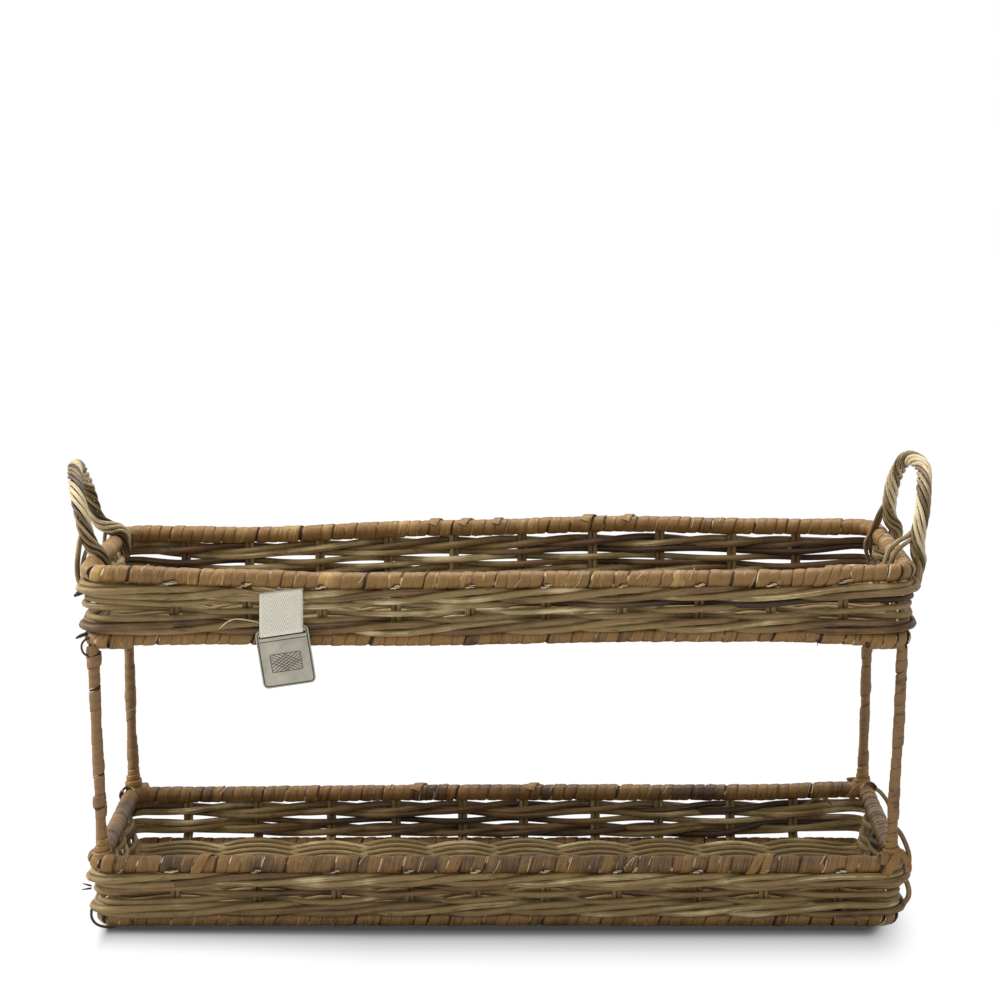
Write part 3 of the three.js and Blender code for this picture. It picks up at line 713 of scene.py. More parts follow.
def wound_tree():
    """Strands that wind round their guides, at the distance that the guide says."""
    tree, given = new_tree("Strands wound round guides", [
        ("Section", "Object"), ("Finish", "Material"), ("Step", "Float"), ("Strands", "Int"),
        ("Hand", "Float"), ("Strand scale", "Float"), ("Shade length", "Float"),
        ("Shade spread", "Float"), ("Seed", "Int"),
    ])
    curve = add(tree, "GeometryNodeMeshToCurve", {"Mesh": given["Geometry"]})
    curve = add(tree, "GeometryNodeResampleCurve", {
        "Curve": curve, "Length": given["Step"],
    }, mode="LENGTH")
    copies = add(tree, "GeometryNodeDuplicateElements", {
        "Geometry": curve, "Amount": given["Strands"],
    }, None, domain="SPLINE").outputs
    curve = add(tree, "GeometryNodeStoreNamedAttribute", {
        "Geometry": copies[0], "Name": "strand", "Value": copies[1],
    }, data_type="FLOAT", domain="POINT")
    strand = carried(tree, "strand")
    turn = carried(tree, "turn")

    share = add(tree, "ShaderNodeMath", {0: strand, 1: given["Strands"]}, operation="DIVIDE")
    start = add(tree, "ShaderNodeMath", {0: share, 1: TURN}, operation="MULTIPLY")
    angle = add(tree, "ShaderNodeMath", {
        0: turn, 1: given["Hand"], 2: start,
    }, operation="MULTIPLY_ADD")
    out = carried(tree, "out", "FLOAT_VECTOR")
    tangent = add(tree, "GeometryNodeInputTangent")
    beside = add(tree, "ShaderNodeVectorMath", {0: tangent, 1: out}, operation="CROSS_PRODUCT")
    parts = {}
    for number, (way, wave) in enumerate(((out, "COSINE"), (beside, "SINE"))):
        part = add(tree, "ShaderNodeMath", {0: angle}, operation=wave)
        parts[number] = add(tree, "ShaderNodeVectorMath", {0: way, 3: part}, operation="SCALE")
    radial = add(tree, "ShaderNodeVectorMath", parts, operation="ADD")
    radial = add(tree, "ShaderNodeVectorMath", {0: radial}, operation="NORMALIZE")
    curve = add(tree, "GeometryNodeStoreNamedAttribute", {
        "Geometry": curve, "Name": "radial", "Value": radial,
    }, data_type="FLOAT_VECTOR", domain="POINT")

    # Each stretch of a strand, counted from the underside, has a shade of its own
    count = add(tree, "ShaderNodeMath", {0: turn, 1: given["Shade length"]}, operation="DIVIDE")
    count = add(tree, "ShaderNodeMath", {0: count, 1: 0.25}, operation="ADD")
    count = add(tree, "ShaderNodeMath", {0: count}, operation="FLOOR")
    count = add(tree, "ShaderNodeMath", {
        0: strand, 1: STRAND_COUNTS, 2: count,
    }, operation="MULTIPLY_ADD")
    shade = add(tree, "FunctionNodeRandomValue", {
        2: -1.0, 3: 1.0, 7: count, 8: given["Seed"],
    }, 1, data_type="FLOAT")
    shade = add(tree, "ShaderNodeMath", {
        0: shade, 1: given["Shade spread"], 2: carried(tree, "tint"),
    }, operation="MULTIPLY_ADD")
    seed = add(tree, "ShaderNodeMath", {
        0: strand, 1: STRAND_SHIFT, 2: carried(tree, "seed"),
    }, operation="MULTIPLY_ADD")
    for name, value in (("tint", shade), ("seed", seed)):
        curve = add(tree, "GeometryNodeStoreNamedAttribute", {
            "Geometry": curve, "Name": name, "Value": value,
        }, data_type="FLOAT", domain="POINT")

    way = carried(tree, "radial", "FLOAT_VECTOR")
    offset = add(tree, "ShaderNodeVectorMath", {
        0: way, 3: carried(tree, "size"),
    }, operation="SCALE")
    curve = add(tree, "GeometryNodeSetPosition", {"Geometry": curve, "Offset": offset})
    sweep(tree, curve, way, given["Strand scale"], given)
    return tree


def tree_named(name, build):
    """A node tree that is built once and then shared."""
    return bpy.data.node_groups.get(name) or build()


def grow(name, guides, tree, section, finish, **inputs):
    """Runs a tree on guides and returns the strands as one plain mesh object."""
    outline = bpy.data.meshes.new("section")
    count = len(section)
    sides = [(i, (i + 1) % count) for i in range(count)]
    outline.from_pydata([(x, y, 0) for x, y in section], sides, [])
    across = outline.attributes.new("across", "FLOAT_VECTOR", "POINT")
    across.data.foreach_set("vector", [value for x, y in section for value in (x, y, 0)])
    section_object = placed("section", outline)

    holder = guides.holder(name)
    modifier = holder.modifiers.new("Strands", "NODES")
    modifier.node_group = tree
    given = {"Section": section_object, "Finish": finish}
    given.update({key.replace("_", " "): value for key, value in inputs.items()})
    for socket in tree.interface.items_tree:
        if socket.in_out == "INPUT" and socket.name in given:
            modifier[socket.identifier] = given[socket.name]
    depsgraph = bpy.context.evaluated_depsgraph_get()
    mesh = bpy.data.meshes.new_from_object(
        holder.evaluated_get(depsgraph), preserve_all_data_layers=True, depsgraph=depsgraph
    )
    holder.modifiers.remove(modifier)
    lines = holder.data
    holder.data = mesh
    mesh.name = name
    bpy.data.meshes.remove(lines)
    bpy.data.objects.remove(section_object)
    bpy.data.meshes.remove(outline)
    for spare in ("out", "size", "turn", "seed", "strand", "radial", "along", "across"):
        if spare in mesh.attributes:
            mesh.attributes.remove(mesh.attributes[spare])
    return holder


def rods(name, guides, finish, sides=8):
    """Round rods along guides."""
    tree = tree_named("Rods along guides", rods_tree)
    return grow(name, guides, tree, round_section(sides), finish)


def strips(name, guides, finish, ratio=0.16):
    """Flat strips along guides, as wide as the guide says and as thick as the ratio."""
    tree = tree_named("Rods along guides", rods_tree)
    return grow(name, guides, tree, strip_section(1, ratio), finish)


def wound(name, guides, finish, width, pitch, hand=-1.0, spread=0.3, thickness=PEEL_THICKNESS,
          tilt=PEEL_TILT, cup=PEEL_CUP):
    """One strip of peel wound round each guide. Each turn has a shade of its own."""
    tree = tree_named("Strands wound round guides", wound_tree)
    return grow(
        name, guides, tree, strip_section(width, thickness, tilt, cup), finish, Step=pitch / 16 * MM,
        Strands=1, Hand=hand, Strand_scale=MM, Shade_length=TURN, Shade_spread=spread, Seed=3,
    )


def rope(name, guides, finish, strands, radius, step):
    """Round rods laid up round each guide. Each rod has one shade over its whole length."""
    tree = tree_named("Strands wound round guides", wound_tree)
    return grow(
        name, guides, tree, round_section(10), finish, Step=step * MM, Strands=strands,
        Hand=-1.0, Strand_scale=radius * MM, Shade_length=1e6, Shade_spread=0.7, Seed=5,
    )


def settle(piece, body, slot, *nodes):
    """Rides a finished piece on its body and hides the nodes that it stands for."""
    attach(piece, body)
    if nodes:
        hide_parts(*nodes)
    return piece


# The trays' walls, read from the frame


def core_rectangle():
    """Where the corners of every ring are centred, from the lower rim."""
    low, high = span("lower_rim")
    inset = (high.z - low.z) / 2 + CORNER
    return Vector((high.x - inset, high.y - inset, 0))


CORE = core_rectangle()


def along_list(points, x):
    """The rise at x, eased from one point of a list to the next."""
    if x <= points[0][0]:
        return points[0][1]
    for (x0, rise0), (x1, rise1) in zip(points, points[1:]):
        if x <= x1:
            return mix(rise0, rise1, smooth((x - x0) / (x1 - x0)))
    return points[-1][1]


class Tray:
    """One tray's plan and heights, read from its nodes."""

    def __init__(self, name):
        self.name = name
        low, high = span(f"{name}_base_hoop")
        self.hoop_radius = (high.z - low.z) / 2
        self.base_z = (high.z + low.z) / 2
        self.base_reach = high.x - self.hoop_radius - CORE.x
        low, high = span(f"{name}_rim")
        self.rim_radius = (high.z - low.z) / 2
        self.rim_z = (high.z + low.z) / 2
        self.rim_reach = high.x - self.rim_radius - CORE.x
        pair = 2 * size("stake_rod")
        numbers = range(1, 1 + sum(n.startswith(f"{name}_rib_") for n in frame["nodes"]))
        ribs = [span(f"{name}_rib_{i}") for i in numbers]
        front, back = STRAY[name]
        self.front_x = [high.x - pair + stray for (low, high), stray in zip(ribs, front)]
        self.back_x = [low.x + pair + stray for (low, high), stray in zip(ribs, back)]
        self.floor_z = self.base_z + RIB_REACH * math.sin(math.radians(RIB_BEND[-1]))
        stakes = [span(f"{name}_left_stake_{i}") for i in (1, 2, 3)]
        self.end_y = [(low.y + high.y) / 2 for low, high in stakes]
        self.row_z = [self.middle_z(f"{name}_woven_row_{i}") for i in (1, 2, 3)]
        self.band_z = {part: self.middle_z(f"{name}_{part}_wale") for part in ("base", "rim")}
        self.feet = self.stake_feet()

    @staticmethod
    def middle_z(node):
        """The height of a node's middle."""
        low, high = span(node)
        return (low.z + high.z) / 2

    def stake_feet(self):
        """Each stake's foot on the core rectangle and its way out, once round the tray."""
        front = [(Vector((x, -CORE.y, 0)), Vector((0, -1, 0))) for x in self.front_x]
        right = [(Vector((CORE.x, y, 0)), Vector((1, 0, 0))) for y in self.end_y]
        back = [(Vector((x, CORE.y, 0)), Vector((0, 1, 0))) for x in reversed(self.back_x)]
        left = [(Vector((-CORE.x, y, 0)), Vector((-1, 0, 0))) for y in reversed(self.end_y)]
        return front + right + back + left

    def gap(self, index):
        """The way from one stake to the next: its two feet, its corner or None, its length."""
        a, out_a = self.feet[index % len(self.feet)]
        b, out_b = self.feet[(index + 1) % len(self.feet)]
        if out_a == out_b:
            return a, b, None, (b - a).length
        both = out_a + out_b
        corner = Vector((both.x * CORE.x, both.y * CORE.y, 0))
        return a, b, corner, (corner - a).length + (b - corner).length + CORNER * TURN / 4

    def foot(self, phase):
        """The foot on the core rectangle and the way out, at a phase counted in stakes."""
        index = math.floor(phase)
        part = phase - index
        out = self.feet[index % len(self.feet)][1]
        a, b, corner, whole = self.gap(index)
        if corner is None:
            return a.lerp(b, part), out.copy()
        way = part * whole
        first = (corner - a).length
        if way <= first:
            return a.lerp(corner, way / first), out.copy()
        angle = min((way - first) / CORNER, TURN / 4)
        out = Matrix.Rotation(angle, 3, "Z") @ out
        rest = way - first - CORNER * TURN / 4
        if rest <= 0:
            return corner, out
        return corner.lerp(b, rest / (b - corner).length), out

    def phase_at(self, x, side):
        """The phase of a place on the front or back wall, between the first and last stake."""
        at = self.front_x if side == "front" else self.back_x
        last = len(at) - 1
        index = min(max(sum(x > stake for stake in at) - 1, 0), last - 1)
        share = index + (x - at[index]) / (at[index + 1] - at[index])
        return share if side == "front" else last + len(self.end_y) + 1 + last - share

    def corners(self):
        """The phase at the middle of each corner, and the length of the gap that holds it."""
        result = []
        for index in range(len(self.feet)):
            a, b, corner, whole = self.gap(index)
            if corner is not None:
                way = (corner - a).length + CORNER * TURN / 8
                result.append((index + way / whole, whole))
        return result

    def corner_share(self, phase):
        """How near a phase is to the middle of a corner: 1 at it, 0 at the stakes beside it."""
        index = math.floor(phase)
        if self.gap(index)[2] is None:
            return 0.0
        return math.sin(math.pi * (phase - index)) ** 2

    def phases(self, step=ROUND_STEP, rounds=1):
        """Phases round the tray, about a step apart, that end where they start."""
        result = []
        count = len(self.feet)
        for index in range(count * rounds):
            pieces = max(3, math.ceil(self.gap(index)[3] / step))
            result += [index + i / pieces for i in range(pieces)]
        return result + [count * rounds]

    def reach(self, z):
        """How far the wall's middle stands outside the core rectangle."""
        share = (z - self.base_z) / (self.rim_z - self.base_z)
        return mix(self.base_reach, self.rim_reach, share)

    def sag(self, place, z):
        """How far the real wall sinks or rises at a place."""
        back = smooth((place.y + CORE.y) / (2 * CORE.y))
        high = (z - self.base_z) / (self.rim_z - self.base_z)
        high = min(1.0, max(0.0, high))
        rises = []
        for side in ("front", "back"):
            hoop, rim = SAG[self.name][side]
            rises.append(mix(along_list(hoop, place.x), along_list(rim, place.x), high))
        return mix(rises[0], rises[1], back)

    def wall(self, phase, z, push=0.0, lift=0.0):
        """A point on the wall, pushed out from its middle, and the way out there."""
        foot, out = self.foot(phase)
        place = foot + out * (self.reach(z) + push)
        place.z = z + self.sag(place, z) + lift
        return place, out


def wound_line(places, radius, pitch, seed, whole=True):
    """Stations for a winding: each turn is a pitch long, give or take."""
    distance = running([place for place, out in places])
    total = distance[-1]
    turns = total / pitch
    if whole:
        turns = round(turns)
    short, long = PEEL_JITTER_LENGTHS
    stations = []
    for (place, out), run in zip(places, distance):
        ends = smooth(run / PEEL_EASE) * smooth((total - run) / PEEL_EASE)
        stray = PEEL_JITTER * ends * (wander(run / short, seed) + 0.5 * wander(run / long, seed))
        turn = TURN * (run / total * turns + stray / pitch)
        girth = radius + PEEL_UNEVEN * ends * wander(run / PEEL_UNEVEN_LENGTH, seed + 0.5)
        stations.append((place, out, girth, turn))
    return stations


# Finishes


def new_material(name):
    """A material with its tree and its main shader."""
    material = bpy.data.materials.new(name)
    material.use_nodes = True
    return material, material.node_tree, material.node_tree.nodes["Principled BSDF"]


def along_grain(tree, grain, long, wide):
    """The grain's coordinates, scaled to marks that are so long and so wide."""
    scale = (1 / (long * MM), 1 / (wide * MM), 1 / (wide * MM))
    return add(tree, "ShaderNodeVectorMath", {0: grain, 1: scale}, operation="MULTIPLY")


def ramp_of(tree, share, tones):
    """The colour at a share, between stops that are given as positions and colours."""
    ramp = add(tree, "ShaderNodeValToRGB", {"Fac": share}, None)
    stops = ramp.color_ramp.elements
    while len(stops) < len(tones):
        stops.new(0.5)
    for stop, (position, tone) in zip(stops, tones):
        stop.position = position
        stop.color = tone
    return ramp.outputs[0]


def cane(name, tones, streak, roughness, relief, edge=None, splits=0.56):
    """Cane in any form. Its edges carry painted shade for the seams between turns, and in places pale
    split pith that also paints a highlight.
    """
    if name in bpy.data.materials:
        return bpy.data.materials[name]
    material, tree, shader = new_material(name)
    grain = add(tree, "ShaderNodeAttribute", output="Vector", attribute_name="grain")
    tint = add(tree, "ShaderNodeAttribute", output="Fac", attribute_name="tint")
    place = add(tree, "ShaderNodeTexCoord", output="Object")

    # Fibres are long and thin, flecks short, and stains are broad patches over all strands
    fibres = add(tree, "ShaderNodeTexNoise", {
        "Vector": along_grain(tree, grain, FIBRE_LENGTH, streak),
        "Scale": 1.0, "Detail": 3.0, "Roughness": 0.6,
    })
    flecks = add(tree, "ShaderNodeTexNoise", {
        "Vector": along_grain(tree, grain, FLECK_LENGTH, FLECK_WIDTH), "Scale": 1.0, "Detail": 2.0,
    })
    stains = add(tree, "ShaderNodeTexNoise", {
        "Vector": place, "Scale": 1 / (STAIN_SIZE * MM), "Detail": 3.0,
    })
    tone = TONE_START - (FIBRE_SHARE + STAIN_SHARE) / 2
    for part, share in ((fibres, FIBRE_SHARE), (stains, STAIN_SHARE), (tint, TINT_SHARE)):
        tone = add(tree, "ShaderNodeMath", {0: part, 1: share, 2: tone}, operation="MULTIPLY_ADD")
    stops = [(i / (len(tones) - 1), paint(tone_name)) for i, tone_name in enumerate(tones)]

    dirt = add(tree, "ShaderNodeMapRange", {
        "Value": flecks, "From Min": FLECK_FADE[0], "From Max": FLECK_FADE[1],
        "To Min": 0.0, "To Max": FLECK_STRENGTH,
    })
    colours = add(tree, "ShaderNodeMix", {
        0: dirt, 6: ramp_of(tree, tone, stops), 7: paint(tones[0]),
    }, 2, data_type="RGBA")
    # Along a strip's edges a band is painted: dark as shade in the seams between turns, and in places
    # pale split pith that also paints a highlight
    if edge:
        width = add(tree, "ShaderNodeSeparateXYZ", {0: grain}, 2)
        width = add(tree, "ShaderNodeMath", {0: width}, operation="ABSOLUTE")
        edge_shade_and_split_mask = add(tree, "ShaderNodeMapRange", {
            "Value": width, "From Min": edge * EDGE_SHADE_AND_SPLIT[0] * MM,
            "From Max": edge * EDGE_SHADE_AND_SPLIT[1] * MM, "To Min": 0.0, "To Max": EDGE_SHADE_AND_SPLIT_STRENGTH,
        })
        split = add(tree, "ShaderNodeTexNoise", {
            "Vector": place, "Scale": 1 / (SPLIT_SIZE * MM), "Detail": 1.0,
        })
        split = add(tree, "ShaderNodeMapRange", {
            "Value": split, "From Min": splits, "From Max": splits + SPLIT_FADE,
        })
        edge_shade_and_split_colour = add(tree, "ShaderNodeMix", {
            0: split, 6: paint(tones[0]), 7: paint("pith"),
        }, 2, data_type="RGBA")
        colours = add(tree, "ShaderNodeMix", {0: edge_shade_and_split_mask, 6: colours, 7: edge_shade_and_split_colour}, 2, data_type="RGBA")
    tree.links.new(colours, shader.inputs["Base Color"])
    rough = add(tree, "ShaderNodeMapRange", {
        "Value": fibres, "From Min": GLOSS_FADE[0], "From Max": GLOSS_FADE[1],
        "To Min": roughness + GLOSS_CHANGE, "To Max": roughness - GLOSS_CHANGE,
    })
    tree.links.new(rough, shader.inputs["Roughness"])
    bump = add(tree, "ShaderNodeBump", {
        "Height": fibres, "Strength": RELIEF_STRENGTH, "Distance": relief * MM,
    })
    tree.links.new(bump, shader.inputs["Normal"])
    shader.inputs["IOR"].default_value = CANE_IOR
    return material


def peel():
    """Split rattan peel: the cane's glossy skin, which shines, with painted shade and painted
    highlight along its edges.
    """
    return cane(
        "Split rattan peel", ("peel_dark", "peel_mid", "peel_mid", "peel_pale"), streak=0.8,
        roughness=0.5, relief=0.22, edge=size("peel_width") / 2,
    )


def post_peel():
    """The peel on the posts, more worn and browner than the rims'."""
    return cane(
        "Post peel", ("peel_dark", "post_brown", "post_brown", "peel_mid"), streak=0.8,
        roughness=0.55, relief=0.18, edge=(size("post_pitch") + POST_OVERLAP) / 2, splits=0.66,
    )


def wall_rod():
    """Peeled willow and rattan rods, dull, some red, some straw coloured."""
    return cane(
        "Round wall rod", ("rod_dark", "rod_red", "rod_mid", "rod_mid", "rod_pale"), streak=0.7,
        roughness=0.6, relief=0.3,
    )


def stake_rod():
    """The same rods as uprights, darker from handling."""
    return cane(
        "Round stake rod", ("rod_dark", "rod_red", "rod_mid", "rod_pale"), streak=0.7,
        roughness=0.62, relief=0.3,
    )


def floor_rod():
    """Floor strands, which keep the dust and look duller."""
    return cane(
        "Round floor rod", ("rod_dark", "rod_mid", "rod_mid", "rod_pale"), streak=0.7,
        roughness=0.68, relief=0.3,
    )


def handle_rod():
    """Thin rods of the rope handles, the palest and smoothest of the tray."""
    return cane(
        "Handle rod", ("rope_dark", "rod_mid", "rope_pale", "rope_pale"), streak=0.9,
        roughness=0.48, relief=0.08,
    )


def torn_fibre():
    """Pith, where the peel has split and pale fibres stand out."""
    return cane(
        "Torn fibre", ("rod_mid", "rope_pale", "pith"), streak=0.4, roughness=0.8, relief=0.1
    )


def dark_rod_and_painted_shade():
    """The rod inside the winding and the rope, dark so that it paints the shade in the seams and
    grooves. The rims' notch strips and the dark stubs use it too.
    """
    return cane(
        "Core rod", ("rod_dark", "rod_dark", "rod_red"), streak=0.9, roughness=0.75, relief=0.2
    )


# The pieces


class RattanStep:
    """What the operators share: each can be undone, and its name in bpy.ops says what it makes."""

    bl_options = {"REGISTER", "UNDO"}


class MakeRims(RattanStep, bpy.types.Operator):
    """Wind peel round the core rod of each base hoop and rim"""

    bl_idname = "rattan.rims"
    bl_label = "Hoops and rims"

    def execute(self, context):
        for seed, (name, part) in enumerate((n, p) for n in TRAYS for p in ("base_hoop", "rim")):
            tray = Tray(name)
            z = tray.rim_z if part == "rim" else tray.base_z
            radius = tray.rim_radius if part == "rim" else tray.hoop_radius
            places = [tray.wall(SEAM_PHASE + phase, z) for phase in tray.phases(RIM_STEP)]
            winding = Guides(10 + seed)
            line = wound_line(places, radius - PEEL_THICKNESS / 2, size("peel_pitch"), seed * 3.7)
            winding.line(line, PEEL_TINT[name, part])
            for line in self.corner_bindings(tray, part, z, radius):
                winding.line(line, PEEL_TINT[name, part])
            skin = wound(
                f"{name}_{part}_peel", winding, peel(), size("peel_width"), size("peel_pitch"),
                spread=PEEL_SPREAD[name],
            )
            settle(skin, BASKET, "peel", f"{name}_{part}")
            # The dark core paints the shade in the seams between the turns of peel
            core = Guides(20 + seed)
            core.line(even(places, radius - CORE_INSET), CORE_SHADE_TINT)
            inside = rods(f"{name}_{part}_core", core, dark_rod_and_painted_shade(), 12)
            settle(inside, BASKET, "rod", f"{name}_{part}")
        return {"FINISHED"}

    @staticmethod
    def corner_bindings(tray, part, z, radius):
        """Extra turns at the corners. The lower hoop has them only at the front."""
        half_length, lift = CORNER_BINDINGS.get((tray.name, part), (0, 0))
        lines = []
        for middle, gap_length in tray.corners() if half_length else ():
            if (tray.name, part) == ("lower", "base_hoop") and tray.foot(middle)[0].y > 0:
                continue
            around = [
                tray.wall(middle + along / gap_length, z, CORNER_BINDING_OUT, lift)
                for along in range(-half_length, half_length + 1)
            ]
            girth = radius + CORNER_BINDING_EXTRA
            lines.append(wound_line(around, girth, CORNER_BINDING_PITCH, middle, whole=False))
        return lines


def pale_at(kind, tray, phase, seed, share=1.0):
    """How pale a woven strand is at a phase."""
    change = ROD_SPREAD[tray.name] * share * wander(phase * PACES[kind]["tone"], seed)
    return min(PALEST[kind], ROD_TINT[tray.name] + change)


def band_line(tray, part, seed, radius):
    """Three strands that twist round each other, as one line three times round."""
    stations = []
    tints = []
    paces = PACES["band"]
    tag_x = frame_joint("tape_swing")[0].x
    for phase in tray.phases(rounds=BAND_SPAN):
        step = (phase + seed) % BAND_SPAN
        near = min(step, BAND_SPAN - step)
        push = mix(BAND_INSIDE, BAND_OUTSIDE, smooth(near / BAND_PASS))
        push += BAND_BELLY * smooth(near - 0.5)
        push += BAND_CORNER_PUSH[tray.name] * tray.corner_share(phase)
        push += BAND_STRAY * wander(phase * paces["push"], seed + 5.1)
        foot = tray.foot(phase)[0]
        back = smooth((foot.y + CORE.y) / (2 * CORE.y))
        lift = -BAND_TWIST * math.sin(TURN * step / BAND_SPAN)
        lift += WALL_WANDER["band"] * wander(phase * paces["rise"], seed)
        if (tray.name, part) == ("upper", "rim") and foot.y < 0:
            lift *= 1 - TAPE_GRIP * hump(foot.x - tag_x, TAPE_GRIP_REACH)
            lift -= TAPE_PULL * hump(foot.x - tag_x + TAPE_PULL_REACH, TAPE_PULL_REACH)
        if part == "rim":
            lift -= BACK_BAND_DROP * back
        elif tray.name == "lower":
            ends = smooth((abs(foot.x) - BAND_LEVEL) / BAND_END_EASE)
            lift += BACK_BAND_RISE * back * (1 + BAND_END_RISE * ends)
        girth = radius * (1 + UNEVEN["band"] * wander(phase * paces["girth"], seed + 9.3))
        place, out = tray.wall(phase, tray.band_z[part], push, lift)
        stations.append((place, out, girth, 0))
        tints.append(pale_at("band", tray, phase, seed + 2.2))
    return stations, tints


class MakeBands(RattanStep, bpy.types.Operator):
    """Twist three rods round each other outside the stakes, above the hoop and under the rim"""

    bl_idname = "rattan.bands"
    bl_label = "Twisted bands"

    def execute(self, context):
        for seed, (name, part) in enumerate((n, p) for n in TRAYS for p in ("base", "rim")):
            tray = Tray(name)
            guides = Guides(30 + seed)
            guides.line(*band_line(tray, part, seed, size("band_rod")))
            piece = rods(f"{name}_{part}_band_rods", guides, wall_rod())
            settle(piece, BASKET, "rod", f"{name}_{part}_wale")
        return {"FINISHED"}


def row_line(tray, row, z, seed, radius):
    """One strand that passes in front of one stake and behind the next."""
    swing = size("stake_rod") + radius + ROD_GAP
    paces = PACES["row"]
    stations = []
    tints = []
    for phase in tray.phases():
        corner = tray.corner_share(phase)
        push = swing * math.cos(math.pi * (phase + row)) + ROW_CORNER_PUSH * corner
        ends = smooth(phase) * smooth(len(tray.feet) - phase)
        lift = WALL_WANDER["row"] * ends * wander(phase * paces["rise"], seed)
        lift += ROW_TWIST * math.sin(math.pi * (phase + row))
        lift += ROW_CORNER_LIFT[tray.name][row] * corner
        girth = radius * (1 + UNEVEN["row"] * ends * wander(phase * paces["girth"], seed + 4))
        place, out = tray.wall(phase, z, push, lift)
        stations.append((place, out, girth, 0))
        tints.append(pale_at("row", tray, phase, seed + 7, ends))
    return stations, tints


class MakeRows(RattanStep, bpy.types.Operator):
    """Weave single rods in front of one stake and behind the next"""

    bl_idname = "rattan.rows"
    bl_label = "Woven rows"

    def execute(self, context):
        for level, name in enumerate(TRAYS):
            tray = Tray(name)
            for row, z in enumerate(tray.row_z):
                guides = Guides(40 + row + 3 * level)
                guides.line(*row_line(tray, row, z, row + 3.3 * level, size("row_rod")))
                piece = rods(f"{name}_woven_row_{row + 1}_rod", guides, wall_rod())
                settle(piece, BASKET, "rod", f"{name}_woven_row_{row + 1}")
        return {"FINISHED"}


def upright(tray, foot, out, low, top):
    """An upright against the wall's middle, from one height to another."""
    places = []
    for share in WALL_SHARES:
        z = mix(low, top, share)
        place = foot + out * tray.reach(z)
        place.z = z + tray.sag(place, z)
        places.append((place, out))
    return places


def rib_side(tray, x, sign, top):
    """One side of a rib, from under the rim down the wall and round the hoop's inside."""
    low = tray.base_z + RIB_REACH + RIB_BEND_START
    out = Vector((0, sign, 0))
    places = upright(tray, Vector((x, sign * CORE.y, 0)), out, top, low)
    hoop = Vector((x, sign * (CORE.y + tray.base_reach), tray.base_z))
    for degrees in RIB_BEND:
        place = hoop + turned(degrees, -out, Vector((0, 0, 1))) * RIB_REACH
        places.append((place, turned(degrees, Vector((0, 0, -1)), out)))
    return places


class MakeStakes(RattanStep, bpy.types.Operator):
    """Set pairs of rods as ribs through the floor and as stakes in the short walls"""

    bl_idname = "rattan.stakes"
    bl_label = "Ribs and stakes"

    def execute(self, context):
        radius = size("stake_rod")
        for seed, name in enumerate(TRAYS):
            tray = Tray(name)
            top = tray.rim_z - tray.rim_radius + STAKE_TUCK
            low = tray.base_z + tray.hoop_radius - STAKE_FOOT_TUCK
            guides = Guides(50 + seed)
            replaced = []
            for i, (front, back) in enumerate(zip(tray.front_x, tray.back_x)):
                for side in (-1, 1):
                    shift = side * radius * PAIR_SQUEEZE
                    down = rib_side(tray, front + shift, -1, top)
                    up = rib_side(tray, back + shift, 1, top)
                    middle = [
                        (down[-1][0].lerp(up[-1][0], share), Vector((0, 0, -1)))
                        for share in RIB_FLAT
                    ]
                    places = down + middle + list(reversed(up))
                    guides.line(even(places, radius), guides.chance.uniform(*STAKE_TONES))
                replaced.append(f"{name}_rib_{i + 1}")
            for end, sign in (("left", -1), ("right", 1)):
                for j, y in enumerate(tray.end_y):
                    for side in (-1, 1):
                        foot = Vector((sign * CORE.x, y + side * radius, 0))
                        places = upright(tray, foot, Vector((sign, 0, 0)), low, top)
                        guides.line(even(places, radius), guides.chance.uniform(*STAKE_TONES))
                    replaced.append(f"{name}_{end}_stake_{j + 1}")
            piece = rods(f"{name}_ribs_and_stakes", guides, stake_rod())
            settle(piece, BASKET, "rod", *replaced)
        return {"FINISHED"}


class MakeFloors(RattanStep, bpy.types.Operator):
    """Weave single lengthwise strands over and under the ribs"""

    bl_idname = "rattan.floors"
    bl_label = "Woven floors"

    def execute(self, context):
        for seed, name in enumerate(TRAYS):
            tray = Tray(name)
            guides = Guides(60 + seed)
            for i in range(FLOOR_STRANDS):
                line = self.strand(tray, i)
                guides.line(even(line, size("floor_rod")), guides.chance.uniform(*FLOOR_TONES))
            piece = rods(f"{name}_floor_strands", guides, floor_rod(), 7)
            settle(piece, BASKET, "floor_rod", f"{name}_floor_weave")
        return {"FINISHED"}

    @staticmethod
    def strand(tray, number):
        """One strand from end to end. Each second one starts over the first rib."""
        swing = size("stake_rod") + size("floor_rod")
        half = CORE.y + tray.base_reach - FLOOR_GAP
        end = CORE.x + tray.base_reach
        y = (2 * number + 1 - FLOOR_STRANDS) * half / FLOOR_STRANDS
        share = (y + CORE.y) / (2 * CORE.y)
        ribs = [mix(f, b, share) for f, b in zip(tray.front_x, tray.back_x)]
        crossings = [(x, 1 if (k + number) % 2 == 0 else -1) for k, x in enumerate(ribs)]
        marks = [(-end, 0), *crossings, (end, 0)]
        line = []
        for (x0, rise0), (x1, rise1) in zip(marks, marks[1:]):
            for part in range(FLOOR_STEPS):
                at = part / FLOOR_STEPS
                x = mix(x0, x1, at)
                rise = swing * mix(rise0, rise1, (1 - math.cos(math.pi * at)) / 2)
                stray = FLOOR_STRAY * wander(x / FLOOR_STRAY_LENGTH, number * 1.7)
                line.append(Vector((x, y + stray, tray.floor_z + rise)))
        line.append(Vector((end, y, tray.floor_z)))
        return [(place, Vector((0, 0, 1))) for place in line]


